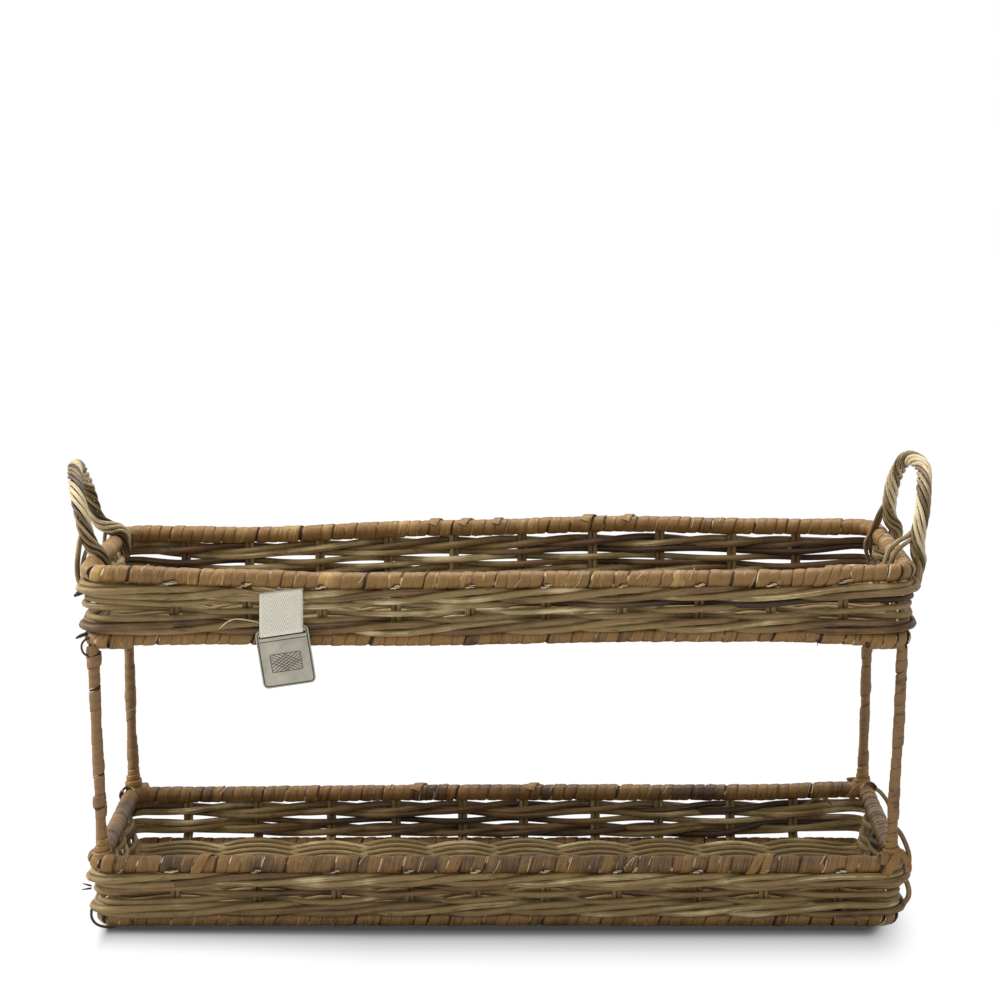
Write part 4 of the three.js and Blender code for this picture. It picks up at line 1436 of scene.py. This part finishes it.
def post_places(name):
    """A post's centreline from foot to top, with the lean and the small bends that it has."""
    low, high = span(f"{name}_post")
    x = (low.x + high.x) / 2 + POST_SHIFT[name]
    y = (low.y + high.y) / 2
    lean = math.copysign(POST_LEAN[name], x)
    places = []
    for i in range(POST_STEPS + 1):
        share = i / POST_STEPS
        bend = POST_BEND * math.sin(math.pi * share) * wander(share * POST_BEND_PACE, x, y)
        z = mix(low.z - POST_TUCK, high.z + POST_TUCK, share)
        place = Vector((x + lean * (share - 0.5) + bend, y, z))
        places.append((place, Vector((x, y, 0)).normalized()))
    return places


def post_girth(name, step):
    """How much thicker a post is at one of its steps."""
    share = step / POST_STEPS
    knots = sum(
        swell * hump((share - at) * POST_LENGTH, KNOT_LENGTH) for at, swell in POST_KNOTS[name]
    )
    return knots + POST_UNEVEN * wander(share * POST_UNEVEN_PACE, POSTS.index(name))


def binding_line(name, foot, out, radius, seed):
    """The binding at a post's foot, which tapers upwards."""
    low, high = span(f"{name}_post_binding")
    at_foot, at_top = BINDING_ENDS
    around = []
    for i in range(BINDING_STEPS + 1):
        place = foot.copy()
        place.z = mix(low.z + at_foot, high.z + at_top, i / BINDING_STEPS)
        around.append((place, out))
    wide = (high.x - low.x) / 2 - BINDING_INSETS[0]
    narrow = radius - BINDING_INSETS[1]
    line = wound_line(around, radius, BINDING_PITCH, seed, whole=False)
    return [
        (place, way, mix(wide, narrow, smooth(i / BINDING_TAPER)), turn)
        for i, (place, way, _, turn) in enumerate(line)
    ]


class MakePosts(RattanStep, bpy.types.Operator):
    """Wrap the four corner posts in peel and bind their feet"""

    bl_idname = "rattan.posts"
    bl_label = "Corner posts"

    def execute(self, context):
        pitch = size("post_pitch")
        for seed, name in enumerate(POSTS):
            low, high = span(f"{name}_post")
            radius = (high.x - low.x) / 2
            places = post_places(name)
            line = wound_line(places, radius - POST_PEEL_INSET, pitch, 20 + seed, whole=False)
            winding = Guides(70 + seed)
            winding.line([
                (place, out, girth + post_girth(name, i), turn)
                for i, (place, out, girth, turn) in enumerate(line)
            ], POST_TINT)
            skin = wound(
                f"{name}_post_peel", winding, post_peel(), pitch + POST_OVERLAP, pitch, hand=1.0,
                spread=0.25, thickness=POST_PEEL_THICKNESS, tilt=0.0, cup=POST_PEEL_CUP,
            )
            settle(skin, BASKET, "peel", f"{name}_post")
            # The dark core paints the shade in the seams between the turns of peel
            core = Guides(80 + seed)
            core.line([
                (place, out, radius - CORE_INSET + post_girth(name, i), 0)
                for i, (place, out) in enumerate(places)
            ], CORE_SHADE_TINT)
            settle(rods(f"{name}_post_core", core, dark_rod_and_painted_shade(), 12), BASKET, "rod", f"{name}_post")

            binding = Guides(90 + seed)
            binding.line(binding_line(name, *places[0], radius, 40 + seed), BINDING_TINT)
            piece = wound(
                f"{name}_post_binding_peel", binding, peel(), BINDING_WIDTH, BINDING_PITCH,
                hand=1.0, thickness=BINDING_THICKNESS,
            )
            settle(piece, BASKET, "peel", f"{name}_post_binding")
        return {"FINISHED"}


def through(points, step):
    """A smooth line through a few points, about a step between its own points."""
    ends = [2 * points[0] - points[1], *points, 2 * points[-1] - points[-2]]
    result = []
    for p0, p1, p2, p3 in zip(ends, ends[1:], ends[2:], ends[3:]):
        pieces = max(2, math.ceil((p2 - p1).length / step))
        for i in range(pieces):
            t = i / pieces
            result.append(0.5 * (
                2 * p1 + (p2 - p0) * t + (2 * p0 - 5 * p1 + 4 * p2 - p3) * t * t
                + (3 * p1 - p0 - 3 * p2 + p3) * t * t * t
            ))
    return result + [points[-1].copy()]


def bent(points, towards, step=3.0):
    """A smooth line through a few points, each place with its way out."""
    return with_out(through([Vector(point) for point in points], step), towards)


def tapered(places, radius, thin):
    """Stations that get thinner by a share over the last three steps."""
    last = len(places) - 1
    return [
        (place, out, radius * (1 - thin * smooth((i - last + 3) / 3)), 0)
        for i, (place, out) in enumerate(places)
    ]


def with_out(points, towards):
    """Each point with a way out, square to the line and as near as can be to one direction."""
    result = []
    for i, point in enumerate(points):
        tangent = points[min(i + 1, len(points) - 1)] - points[max(i - 1, 0)]
        tangent.normalize()
        out = towards - tangent * towards.dot(tangent)
        result.append((point, out.normalized()))
    return result


def handle_points(side):
    """The handle's centreline, from its front foot over its crown to its back foot."""
    low, high = span(f"{side}_handle")
    tray = Tray("upper")
    way = 1 if side == "right" else -1
    half_span = high.y - HANDLE_RADIUS
    rise = high.z - HANDLE_RADIUS - tray.rim_z - HANDLE_DROP[side]
    beside = tray.rim_radius + HANDLE_FIT + HANDLE_RADIUS
    foot = CORE.x + tray.rim_reach + beside
    if side == "left":
        foot = CORE.x + tray.rim_reach - tray.rim_radius - HANDLE_FIT - HANDLE_INSIDE
    bend_z = tray.rim_z + HANDLE_FOOT_RISE[side]

    def leg(sign):
        """The points from a foot to the last bend under the crown."""
        points = [
            Vector((way * (foot - HANDLE_TUCK[side]), sign * half_span, low.z - HANDLE_TUCK[side])),
            Vector((way * foot, sign * half_span, bend_z)),
        ]
        for across, out, up in HANDLE_BENDS[side, sign]:
            x = way * (foot + out * half_span)
            points.append(Vector((x, sign * across * half_span, tray.rim_z + up * rise)))
        return points

    top = Vector((way * (foot + HANDLE_TOP_LEAN[side]), 0, tray.rim_z + rise))
    return leg(-1) + [top] + list(reversed(leg(1)))


class MakeHandles(RattanStep, bpy.types.Operator):
    """Lay up the rope handles and the rods that bind them to the rim"""

    bl_idname = "rattan.handles"
    bl_label = "Rope handles"

    def execute(self, context):
        for seed, (side, way) in enumerate((("left", -1), ("right", 1))):
            places = bent(handle_points(side), Vector((way, 0, 0)))
            run = running([place for place, out in places])
            helix = HANDLE_RADIUS - HANDLE_STRAND_RADIUS
            ropes = []
            inner = []
            for (place, out), at in zip(places, run):
                near = min(at, run[-1] - at)
                waist = mix(HANDLE_FOOT_WIDTH, 1.0, smooth(near / HANDLE_FOOT_LENGTH))
                ropes.append((place, out, helix * waist, TURN * at / HANDLE_LAY))
                inner.append((place, out, HANDLE_CORE_RADIUS * waist, 0))
            guides = Guides(100 + seed)
            guides.line(ropes, HANDLE_TINT[side])
            strands = rope(
                f"{side}_handle_rope", guides, handle_rod(), HANDLE_STRANDS,
                HANDLE_STRAND_RADIUS, HANDLE_LAY / HANDLE_LAY_STEPS,
            )
            settle(strands, BASKET, "handle_rod", f"{side}_handle")
            core = Guides(110 + seed)
            # The rope's core is the darkest, and paints the shade in the grooves between its strands
            core.line(inner, 0.0)
            piece = rods(f"{side}_handle_core", core, dark_rod_and_painted_shade())
            settle(piece, BASKET, "handle_rod", f"{side}_handle")
            tails = Guides(120 + seed)
            for radius, *points in TAILS[side]:
                places = bent(points, Vector((way, 0.3, 0)))
                tails.line(tapered(places, radius, 0.4), tails.chance.uniform(*TAIL_TONES[side]))
            settle(rods(f"{side}_handle_tails", tails, handle_rod()), BASKET, "handle_rod")
        return {"FINISHED"}


# What stands out from the winding: torn fibres, crossing strips, stubs and loose ends


def aslant(tray, phase, drift, width, start, end, lift, curl=0.0):
    """Stations over a rim, from one angle to another round it, that drift sideways."""
    place, out = tray.wall(phase, tray.rim_z)
    along = Vector((-out.y, out.x, 0))
    stations = []
    for i in range(ASLANT_STEPS + 1):
        share = i / ASLANT_STEPS
        way = turned(mix(start, end, share), out, Vector((0, 0, 1)))
        rise = tray.rim_radius + lift + curl * share ** 4
        stations.append((place + way * rise + along * drift * (share - 0.5), way, width, 0))
    return stations


class MakeFrays(RattanStep, bpy.types.Operator):
    """Lay the crossing strips, torn fibres and cut ends over the rims"""

    bl_idname = "rattan.frays"
    bl_label = "Frays of the rims"

    def execute(self, context):
        for seed, name in enumerate(TRAYS):
            tray = Tray(name)
            crossing = Guides(130 + seed)
            for tray_name, side, x, drift, width in CROSSINGS:
                if tray_name == name:
                    phase = tray.phase_at(x, side)
                    line = aslant(tray, phase, drift, width, *CROSSING_ANGLES, CROSSING_LIFT)
                    crossing.line(line, crossing.chance.uniform(*CROSSING_TONES))
            for width, *points in STRAPS if name == "lower" else ():
                places = bent(points, Vector((0.2, -1, 0.5)))
                crossing.line(even(places, width), STRAP_TINT)
            settle(strips(f"{name}_rim_crossings", crossing, peel()), BASKET, "peel")

            torn = Guides(140 + seed)
            for _ in range(FIBRES[name]):
                self.add_fibre(tray, torn)
            # Dark strips in the notches paint the shade of the gaps at the stakes
            notch_shades = Guides(160 + seed)
            for x in tray.front_x:
                self.add_cut(tray, notch_shades, torn.chance, x, NOTCH, NOTCH_HALF, NOTCH_LIFT, NOTCH_TONES)
                for cut_end in CUT_ENDS:
                    self.add_cut(
                        tray, torn, torn.chance, x, cut_end, CUT_END_HALF, CUT_END_LIFT, CUT_END_TONES
                    )
            settle(strips(f"{name}_rim_notches", notch_shades, dark_rod_and_painted_shade(), 0.1), BASKET, "rod")
            settle(rods(f"{name}_rim_fibres", torn, torn_fibre(), 6), BASKET, "rod")
        return {"FINISHED"}

    @staticmethod
    def add_fibre(tray, torn):
        """One torn fibre somewhere on the rim, more often at the front."""
        chance = torn.chance
        side = chance.choice(("front", "front", "back"))
        phase = tray.phase_at(chance.uniform(-FIBRE_ENDS, FIBRE_ENDS), side)
        start = chance.uniform(*FIBRE_STARTS["front"])
        if side == "back":
            start = chance.uniform(*FIBRE_STARTS["back"])
        drift = chance.uniform(*FIBRE_DRIFTS)
        radius = FIBRE_RADIUS * chance.uniform(0.8, 1.5)
        end = start + chance.uniform(*FIBRE_SWEEPS)
        line = aslant(tray, phase, drift, radius, start, end, FIBRE_LIFT, chance.choice(FIBRE_CURLS))
        torn.line(line, chance.uniform(*FIBRE_TONES))

    @staticmethod
    def add_cut(tray, guides, chance, x, cut, half_length, lift, tones):
        """A short mark along the rim's front, widest in its middle."""
        shift, angle, wide = cut
        half = half_length * chance.uniform(0.7, 1.1)
        line = []
        for share in (-1, -0.5, 0, 0.5, 1):
            at = x + shift + half * share
            place, out = tray.wall(tray.phase_at(at, "front"), tray.rim_z)
            way = turned(angle + chance.uniform(-4, 4), out, Vector((0, 0, 1)))
            taper = 1 - 0.6 * share * share
            line.append((place + way * (tray.rim_radius + lift), way, wide * taper, 0))
        guides.line(line, chance.uniform(*tones))


class MakeSprigs(RattanStep, bpy.types.Operator):
    """Add the stubs, the loose strands and the two pins at the corners"""

    bl_idname = "rattan.sprigs"
    bl_label = "Stubs, loose strands and pins"

    def execute(self, context):
        for title, routes, finish, tint in (
            ("dark_stubs", SPRIGS, dark_rod_and_painted_shade(), 0.25), ("sprung_strands", SPRUNG, wall_rod(), 0.4),
            ("pale_thread", THREADS, torn_fibre(), 0.6),
        ):
            guides = Guides(150)
            for radius, *points in routes:
                guides.line(tapered(bent(points, Vector((0, -1, 0.2)), 1.5), radius, 0.5), tint)
            settle(rods(title, guides, finish), BASKET, "rod")
        pins = Guides(151)
        up = Vector((0, 0, 1))
        for x, y, z in PINS:
            head = [(Vector((x, y - run, z)), up, radius, 0) for run, radius in PIN_HEAD]
            pins.line(head, pins.chance.random())
        settle(rods("corner_pins", pins, yellow_brass(), 12), BASKET, "tag_metal")
        return {"FINISHED"}


# The hang tag


def yellow_brass():
    """Dull yellow brass of the pin heads."""
    material, tree, shader = new_material("Yellow brass")
    shader.inputs["Base Color"].default_value = paint("brass")
    shader.inputs["Metallic"].default_value = 1.0
    shader.inputs["Roughness"].default_value = 0.35
    return material


def cotton_tape():
    """Herringbone cotton tape: matt undyed yarn, in steep chevrons across its width."""
    material, tree, shader = new_material("Herringbone cotton tape")
    uv = add(tree, "ShaderNodeUVMap", uv_map="tape")
    across, along, _ = add(tree, "ShaderNodeSeparateXYZ", {0: uv}, None).outputs
    across = add(tree, "ShaderNodeMath", {0: across, 1: -YARN_APEX * MM}, operation="ADD")
    bands = add(tree, "ShaderNodeMath", {0: across, 1: YARN_BAND * MM}, operation="PINGPONG")
    slope = add(tree, "ShaderNodeMath", {
        0: along, 1: -YARN_SLOPE, 2: bands,
    }, operation="MULTIPLY_ADD")
    waves = add(tree, "ShaderNodeMath", {0: slope, 1: TURN / (YARN_PITCH * MM)}, operation="MULTIPLY")
    waves = add(tree, "ShaderNodeMath", {0: waves}, operation="SINE")
    fuzz = add(tree, "ShaderNodeTexNoise", {
        "Vector": uv, "Scale": 1 / (YARN_FUZZ * MM), "Detail": 2.0,
    })
    height = add(tree, "ShaderNodeMath", {0: fuzz, 1: 0.8, 2: waves}, operation="MULTIPLY_ADD")
    shade = add(tree, "ShaderNodeMapRange", {
        "Value": height, "From Min": -0.9, "From Max": 0.6, "To Min": 0.8, "To Max": 0.0,
    })
    colours = add(tree, "ShaderNodeMix", {
        0: shade, 6: paint("cotton"), 7: paint("cotton_shade"),
    }, 2, data_type="RGBA")
    tree.links.new(colours, shader.inputs["Base Color"])
    shader.inputs["Roughness"].default_value = 0.95
    shader.inputs["Sheen Weight"].default_value = 0.15
    bump = add(tree, "ShaderNodeBump", {"Height": height, "Strength": 0.5, "Distance": 0.2 * MM})
    tree.links.new(bump, shader.inputs["Normal"])
    return material


def stamped_zinc():
    """Stamped zinc sheet, tumbled: soft scratches, and a dull patina in broad patches."""
    material, tree, shader = new_material("Stamped zinc sheet")
    place = add(tree, "ShaderNodeTexCoord", output="Object")
    patina = add(tree, "ShaderNodeTexNoise", {
        "Vector": place, "Scale": 1 / (PATINA_SIZE * MM), "Detail": 5.0,
    })
    colours = add(tree, "ShaderNodeMix", {
        0: patina, 6: paint("zinc"), 7: paint("zinc_patina"),
    }, 2, data_type="RGBA")
    tree.links.new(colours, shader.inputs["Base Color"])
    shader.inputs["Metallic"].default_value = 0.55
    rough = add(tree, "ShaderNodeMapRange", {"Value": patina, "To Min": 0.35, "To Max": 0.6})
    tree.links.new(rough, shader.inputs["Roughness"])
    grit = add(tree, "ShaderNodeTexNoise", {
        "Vector": place, "Scale": 1 / (GRIT_SIZE * MM), "Detail": 2.0,
    })
    bump = add(tree, "ShaderNodeBump", {"Height": grit, "Strength": 0.3, "Distance": 0.05 * MM})
    tree.links.new(bump, shader.inputs["Normal"])
    return material


def dark_enamel():
    """Dark enamel run into the stamped lines, slightly worn."""
    material, tree, shader = new_material("Dark enamel")
    place = add(tree, "ShaderNodeTexCoord", output="Object")
    wear = add(tree, "ShaderNodeTexNoise", {
        "Vector": place, "Scale": 1 / (WEAR_SIZE * MM), "Detail": 3.0,
    })
    colours = add(tree, "ShaderNodeMix", {
        0: wear, 6: paint("enamel"), 7: paint("enamel_worn"),
    }, 2, data_type="RGBA")
    tree.links.new(colours, shader.inputs["Base Color"])
    shader.inputs["Roughness"].default_value = 0.5
    return material


def arc(x, y, radius, angles):
    """Pairs that lie round a middle, at angles in degrees."""
    turns = [math.radians(angle) for angle in angles]
    return [(x + radius * math.cos(turn), y + radius * math.sin(turn)) for turn in turns]


def tape_line(fold_out, fold_down):
    """The tape's closed centreline seen from its end: out from the wall, and up."""
    points = arc(0, -TAPE_LOOP_DROP, TAPE_LOOP, range(90, -1, -15))
    points += arc(fold_out, fold_down, TAPE_FOLD, range(0, -181, -20))
    points.append((fold_out - TAPE_FOLD, -2 * TAPE_LOOP - TAPE_LOOP_DROP))
    points += arc(0, -TAPE_LOOP_DROP, TAPE_LOOP, TAPE_BACK_OF_LOOP)
    line = []
    for a, b in zip(points, points[1:] + points[:1]):
        pieces = max(1, math.ceil(math.dist(a, b) / TAPE_STEP))
        line += [[mix(p, q, i / pieces) for p, q in zip(a, b)] for i in range(pieces)]
    return line


class MakeTape(RattanStep, bpy.types.Operator):
    """Fold the cotton tape over the band and through the plate's slot"""

    bl_idname = "rattan.tape"
    bl_label = "Hang tag tape"

    def execute(self, context):
        hinge, _ = frame_joint("tape_swing")
        bar, axis = frame_joint("plate_swing")
        slope = axis.z / axis.x
        fold_down = bar.z - hinge.z
        line = tape_line(hinge.y - bar.y, fold_down)
        rows = len(line)
        half = size("tape_width") / 2
        columns = [mix(-half, half, column / TAPE_COLUMNS) for column in range(TAPE_COLUMNS + 1)]
        wave_width, wave_height = TAPE_WAVE_SIZES
        points = []
        for out, up in line:
            askew = mix(TAPE_ASKEW, 1.0, min(1.0, max(0.0, (-up - TAPE_LOOP) / -fold_down)))
            for along in columns:
                stray = TAPE_WAVE * askew * wander(along / wave_width, up / wave_height, 3.0)
                point = Vector((along, -(out + stray), up + askew * along * slope))
                points.append((hinge + point) * MM)
        run = [0.0]
        for a, b in zip(line, line[1:] + line[:1]):
            run.append(run[-1] + math.dist(a, b))
        faces = []
        maps = []
        for i in range(rows):
            for c in range(TAPE_COLUMNS):
                a = i * (TAPE_COLUMNS + 1) + c
                b = (i + 1) % rows * (TAPE_COLUMNS + 1) + c
                faces.append((a, b, b + 1, a + 1))
                for column, row in ((c, i), (c, i + 1), (c + 1, i + 1), (c + 1, i)):
                    maps += [(columns[column] + half) * MM, run[row] * MM]
        mesh = bpy.data.meshes.new("tag_tape_cloth")
        mesh.from_pydata(points, [], faces)
        mesh.uv_layers.new(name="tape").data.foreach_set("uv", maps)
        mesh.materials.append(cotton_tape())
        mesh.polygons.foreach_set("use_smooth", [True] * len(mesh.polygons))
        piece = placed("tag_tape_cloth", mesh)
        wall = piece.modifiers.new("Thickness", "SOLIDIFY")
        wall.thickness = TAPE_THICKNESS * MM
        wall.offset = 0
        settle(piece, "tape", "cotton_tape", "tag_tape")
        flat = (size("tape_width") * MM, run[-1] * MM)
        return {"FINISHED"}


def clip_line(ends, half):
    """The part of a line between -half and half, or None."""
    (x0, z0), (x1, z1) = ends
    shares = sorted(((-half - x0) / (x1 - x0), (half - x0) / (x1 - x0)))
    first = max(0.0, shares[0])
    last = min(1.0, shares[1])
    if last - first < SHORTEST_LINE:
        return None
    return [(mix(x0, x1, share), mix(z0, z1, share)) for share in (first, last)]


def plate_outline(half, top, low, radius, steps=6):
    """The plate's rounded outline, seen from in front, counter-clockwise."""
    corners = (
        (half - radius, top - radius, 0), (-half + radius, top - radius, 90),
        (-half + radius, low + radius, 180), (half - radius, low + radius, 270),
    )
    points = []
    for x, z, start in corners:
        points += arc(x, z, radius, [start + 90 * i / steps for i in range(steps + 1)])
    return points


def trellis(middle):
    """Crossing lines in a small frame, each as its points, its width and whether it closes."""
    wide, tall = TRELLIS_SIZE
    lines = []
    for i in range(-TRELLIS_COUNT, TRELLIS_COUNT):
        for way in (-1, 1):
            ends = []
            for share in (0, 1):
                x = (i + 0.5 + way * TRELLIS_COUNT * (share - 0.5) * 2) * wide / TRELLIS_COUNT / 2
                ends.append((x, middle + tall * (share - 0.5)))
            ends = clip_line(ends, wide / 2)
            if ends:
                lines.append((ends, TRELLIS_WIDTH, False))
    around = plate_outline(wide / 2, middle + tall / 2, middle - tall / 2, TRELLIS_CORNER)
    return lines + [(around, TRELLIS_WIDTH, True)]


def raised_line(outline, width, closed):
    """The corners and faces of one line that stands out of the plate's front."""
    count = len(outline)
    front = -PLATE_THICKNESS / 2
    points = []
    for i, (x, z) in enumerate(outline):
        before = outline[(i - 1) % count] if closed or i else outline[i]
        after = outline[(i + 1) % count] if closed or i + 1 < count else outline[i]
        way = Vector((after[0] - before[0], after[1] - before[1])).normalized() * width / 2
        for side in (-1, 1):
            for y in (front - LINE_RISE, front + LINE_DEPTH):
                points.append(Vector((x - way.y * side, y, z + way.x * side)))
    faces = []
    for i in range(count if closed else count - 1):
        a = 4 * i
        b = 4 * ((i + 1) % count)
        faces += [(a, b, b + 2, a + 2), (a + 1, a + 3, b + 3, b + 1)]
        faces += [(a, a + 1, b + 1, b), (a + 2, b + 2, b + 3, a + 3)]
    if not closed:
        b = 4 * (count - 1)
        faces += [(0, 2, 3, 1), (b, b + 1, b + 3, b + 2)]
    return points, faces


class MakePlate(RattanStep, bpy.types.Operator):
    """Give the hang tag's plate its zinc finish, and stamp its border, a rule and a plain trellis"""

    bl_idname = "rattan.plate"
    bl_label = "Hang tag plate"

    def execute(self, context):
        bar, axis = frame_joint("plate_swing")
        turn = Matrix.Rotation(-math.atan(axis.z / axis.x), 4, "Y")
        place = Matrix.Translation(bar * MM) @ turn
        node = frame["nodes"]["tag_plate"]
        node.data.materials.clear()
        node.data.materials.append(stamped_zinc())
        half = PLATE_HALF - BORDER_INSET
        low = BORDER_INSET - PLATE_BOTTOM
        border = plate_outline(half, PLATE_TOP - BORDER_INSET, low, PLATE_CORNER - BORDER_INSET)
        rule = [(-half, RULE_Z), (half, RULE_Z)]
        points = []
        faces = []
        for outline, width, closed in (
            (border, BORDER_WIDTH, True), (rule, RULE_WIDTH, False), *trellis((RULE_Z + low) / 2),
        ):
            corners, sides = raised_line(outline, width, closed)
            faces += [tuple(len(points) + corner for corner in face) for face in sides]
            points += [place @ (corner * MM) for corner in corners]
        mesh = bpy.data.meshes.new("tag_plate_lines")
        mesh.from_pydata(points, [], faces)
        mesh.materials.append(dark_enamel())
        settle(placed("tag_plate_lines", mesh), "plate", "tag_metal")
        return {"FINISHED"}


# Camera, lights and floor


def seen_by(tree, *kinds):
    """1 for the kinds of ray that see the background as white, and 0 for the rest."""
    ray = add(tree, "ShaderNodeLightPath", output=None).outputs
    seen = ray["Is Camera Ray"]
    for kind in kinds:
        seen = add(tree, "ShaderNodeMath", {0: seen, 1: ray[kind]}, operation="MAXIMUM")
    return seen


def pale_floor():
    """Matt white studio paper. To the camera it glows plain white but for a painted shadow under the
    tray, over a little of its own real shading.
    """
    material, tree, shader = new_material("White studio paper")
    shader.inputs["Roughness"].default_value = 1.0
    shader.inputs["Specular IOR Level"].default_value = 0.0
    seen = seen_by(tree, "Is Glossy Ray")
    # To the camera and in reflections the paper itself is dark, so that its glow paints it white with
    # the shadow painted in
    paper = add(tree, "ShaderNodeMix", {
        0: seen, 6: linear("#F4F4F4"), 7: linear("#303030"),
    }, 2, data_type="RGBA")
    tree.links.new(paper, shader.inputs["Base Color"])
    place = add(tree, "ShaderNodeTexCoord", output="Object")
    away = add(tree, "ShaderNodeVectorMath", {0: place, 1: SHADOW_MIDDLE}, operation="SUBTRACT")
    across = add(tree, "ShaderNodeSeparateXYZ", {0: away})
    ends = add(tree, "ShaderNodeMapRange", {
        "Value": across, "From Min": -0.01, "From Max": 0.01,
        "To Min": SHADOW_ENDS[0], "To Max": SHADOW_ENDS[1],
    })
    ends = add(tree, "ShaderNodeCombineXYZ", {0: ends, 1: 1.0, 2: 1.0})
    left = add(tree, "ShaderNodeMapRange", {
        "Value": across, "From Min": SHADOW_LEFT[0], "From Max": SHADOW_LEFT[1],
        "To Min": SHADOW_LEFT[2], "To Max": 1.0,
    })
    for operation, inputs in (
        ("ABSOLUTE", {}), ("SUBTRACT", {1: SHADOW_INNER}), ("MAXIMUM", {1: (0, 0, 0)}),
        ("MULTIPLY", {1: ends}),
    ):
        away = add(tree, "ShaderNodeVectorMath", {0: away, **inputs}, operation=operation)
    away = add(tree, "ShaderNodeVectorMath", {0: away}, "Value", operation="LENGTH")
    share = add(tree, "ShaderNodeMapRange", {
        "Value": away, "From Min": SHADOW_CORNER, "From Max": SHADOW_CORNER + SHADOW_REACH,
    })
    share = add(tree, "ShaderNodeMath", {0: share, 1: left}, operation="MULTIPLY")
    tones = [(position, (bright, bright, bright, 1)) for position, bright in SHADOW_TONES]
    # The glow is the painted shadow: dark near the tray and white beyond its reach
    glow_with_painted_shadow = add(tree, "ShaderNodeMath", {
        0: seen, 1: ramp_of(tree, share, tones),
    }, operation="MULTIPLY")
    shader.inputs["Emission Color"].default_value = (1, 1, 1, 1)
    tree.links.new(glow_with_painted_shadow, shader.inputs["Emission Strength"])
    return material


class MakeStage(RattanStep, bpy.types.Operator):
    """Set up the camera, the lights and the white floor"""

    bl_idname = "rattan.stage"
    bl_label = "Stage"

    def execute(self, context):
        scene = context.scene
        lens = bpy.data.cameras.new("camera")
        lens.lens = LENS
        lens.sensor_width = SENSOR
        camera = placed("camera", lens)
        camera.location = CAMERA_PLACE
        camera.rotation_euler = (math.pi / 2 - CAMERA_DOWN, 0, CAMERA_ROLL)
        scene.camera = camera

        for name, (place, height, power, breadth) in LAMPS.items():
            lamp = bpy.data.lights.new(name, "AREA")
            lamp.energy = power
            lamp.size = breadth
            holder = placed(name, lamp)
            holder.location = place
            way = Vector((0, 0, height)) - Vector(place)
            holder.rotation_euler = way.to_track_quat("-Z", "Y").to_euler()

        world = bpy.data.worlds.new("studio")
        scene.world = world
        world.use_nodes = True
        tree = world.node_tree
        seen = seen_by(tree, "Is Glossy Ray", "Is Transmission Ray")
        strength = add(tree, "ShaderNodeMapRange", {
            "Value": seen, "To Min": WORLD_LIGHT, "To Max": 1.0,
        })
        background = tree.nodes["Background"].inputs
        tree.links.new(strength, background["Strength"])
        background["Color"].default_value = (1, 1, 1, 1)

        mesh = bpy.data.meshes.new("floor")
        signs = ((-1, -1), (1, -1), (1, 1), (-1, 1))
        corners = [(x * FLOOR_REACH, y * FLOOR_REACH, 0) for x, y in signs]
        mesh.from_pydata(corners, [], [(0, 1, 2, 3)])
        mesh.materials.append(pale_floor())
        placed("floor", mesh)
        scene.view_settings.view_transform = "Standard"
        return {"FINISHED"}


class RattanPanel(bpy.types.Panel):
    """Lists the steps that build the tray"""

    bl_idname = "VIEW3D_PT_rattan_tray"
    bl_label = "Rattan tray"
    bl_space_type = "VIEW_3D"
    bl_region_type = "UI"
    bl_category = "Rattan tray"

    def draw(self, context):
        for settings in (context.scene.rattan_sizes, context.scene.rattan_colours):
            box = self.layout.box()
            for name in settings.bl_rna.properties.keys():
                if name not in ("rna_type", "name"):
                    box.prop(settings, name)
        for step in STEPS:
            self.layout.operator(step.bl_idname)


STEPS = (
    MakeStage, MakeRims, MakeBands, MakeRows, MakeStakes, MakeFloors, MakePosts, MakeHandles,
    MakeFrays, MakeSprigs, MakeTape, MakePlate,
)
CLASSES = (RattanSizes, RattanColours, *STEPS, RattanPanel)


def register():
    """Registers the classes and hangs the settings on the scene."""
    for each in CLASSES:
        bpy.utils.register_class(each)
    bpy.types.Scene.rattan_sizes = bpy.props.PointerProperty(type=RattanSizes)
    bpy.types.Scene.rattan_colours = bpy.props.PointerProperty(type=RattanColours)


def unregister():
    """Takes them off again."""
    del bpy.types.Scene.rattan_colours
    del bpy.types.Scene.rattan_sizes
    for each in reversed(CLASSES):
        bpy.utils.unregister_class(each)


def main():
    register()
    for step in STEPS:
        group, name = step.bl_idname.split(".")
        getattr(getattr(bpy.ops, group), name)()


if __name__ == "__main__":
    main()
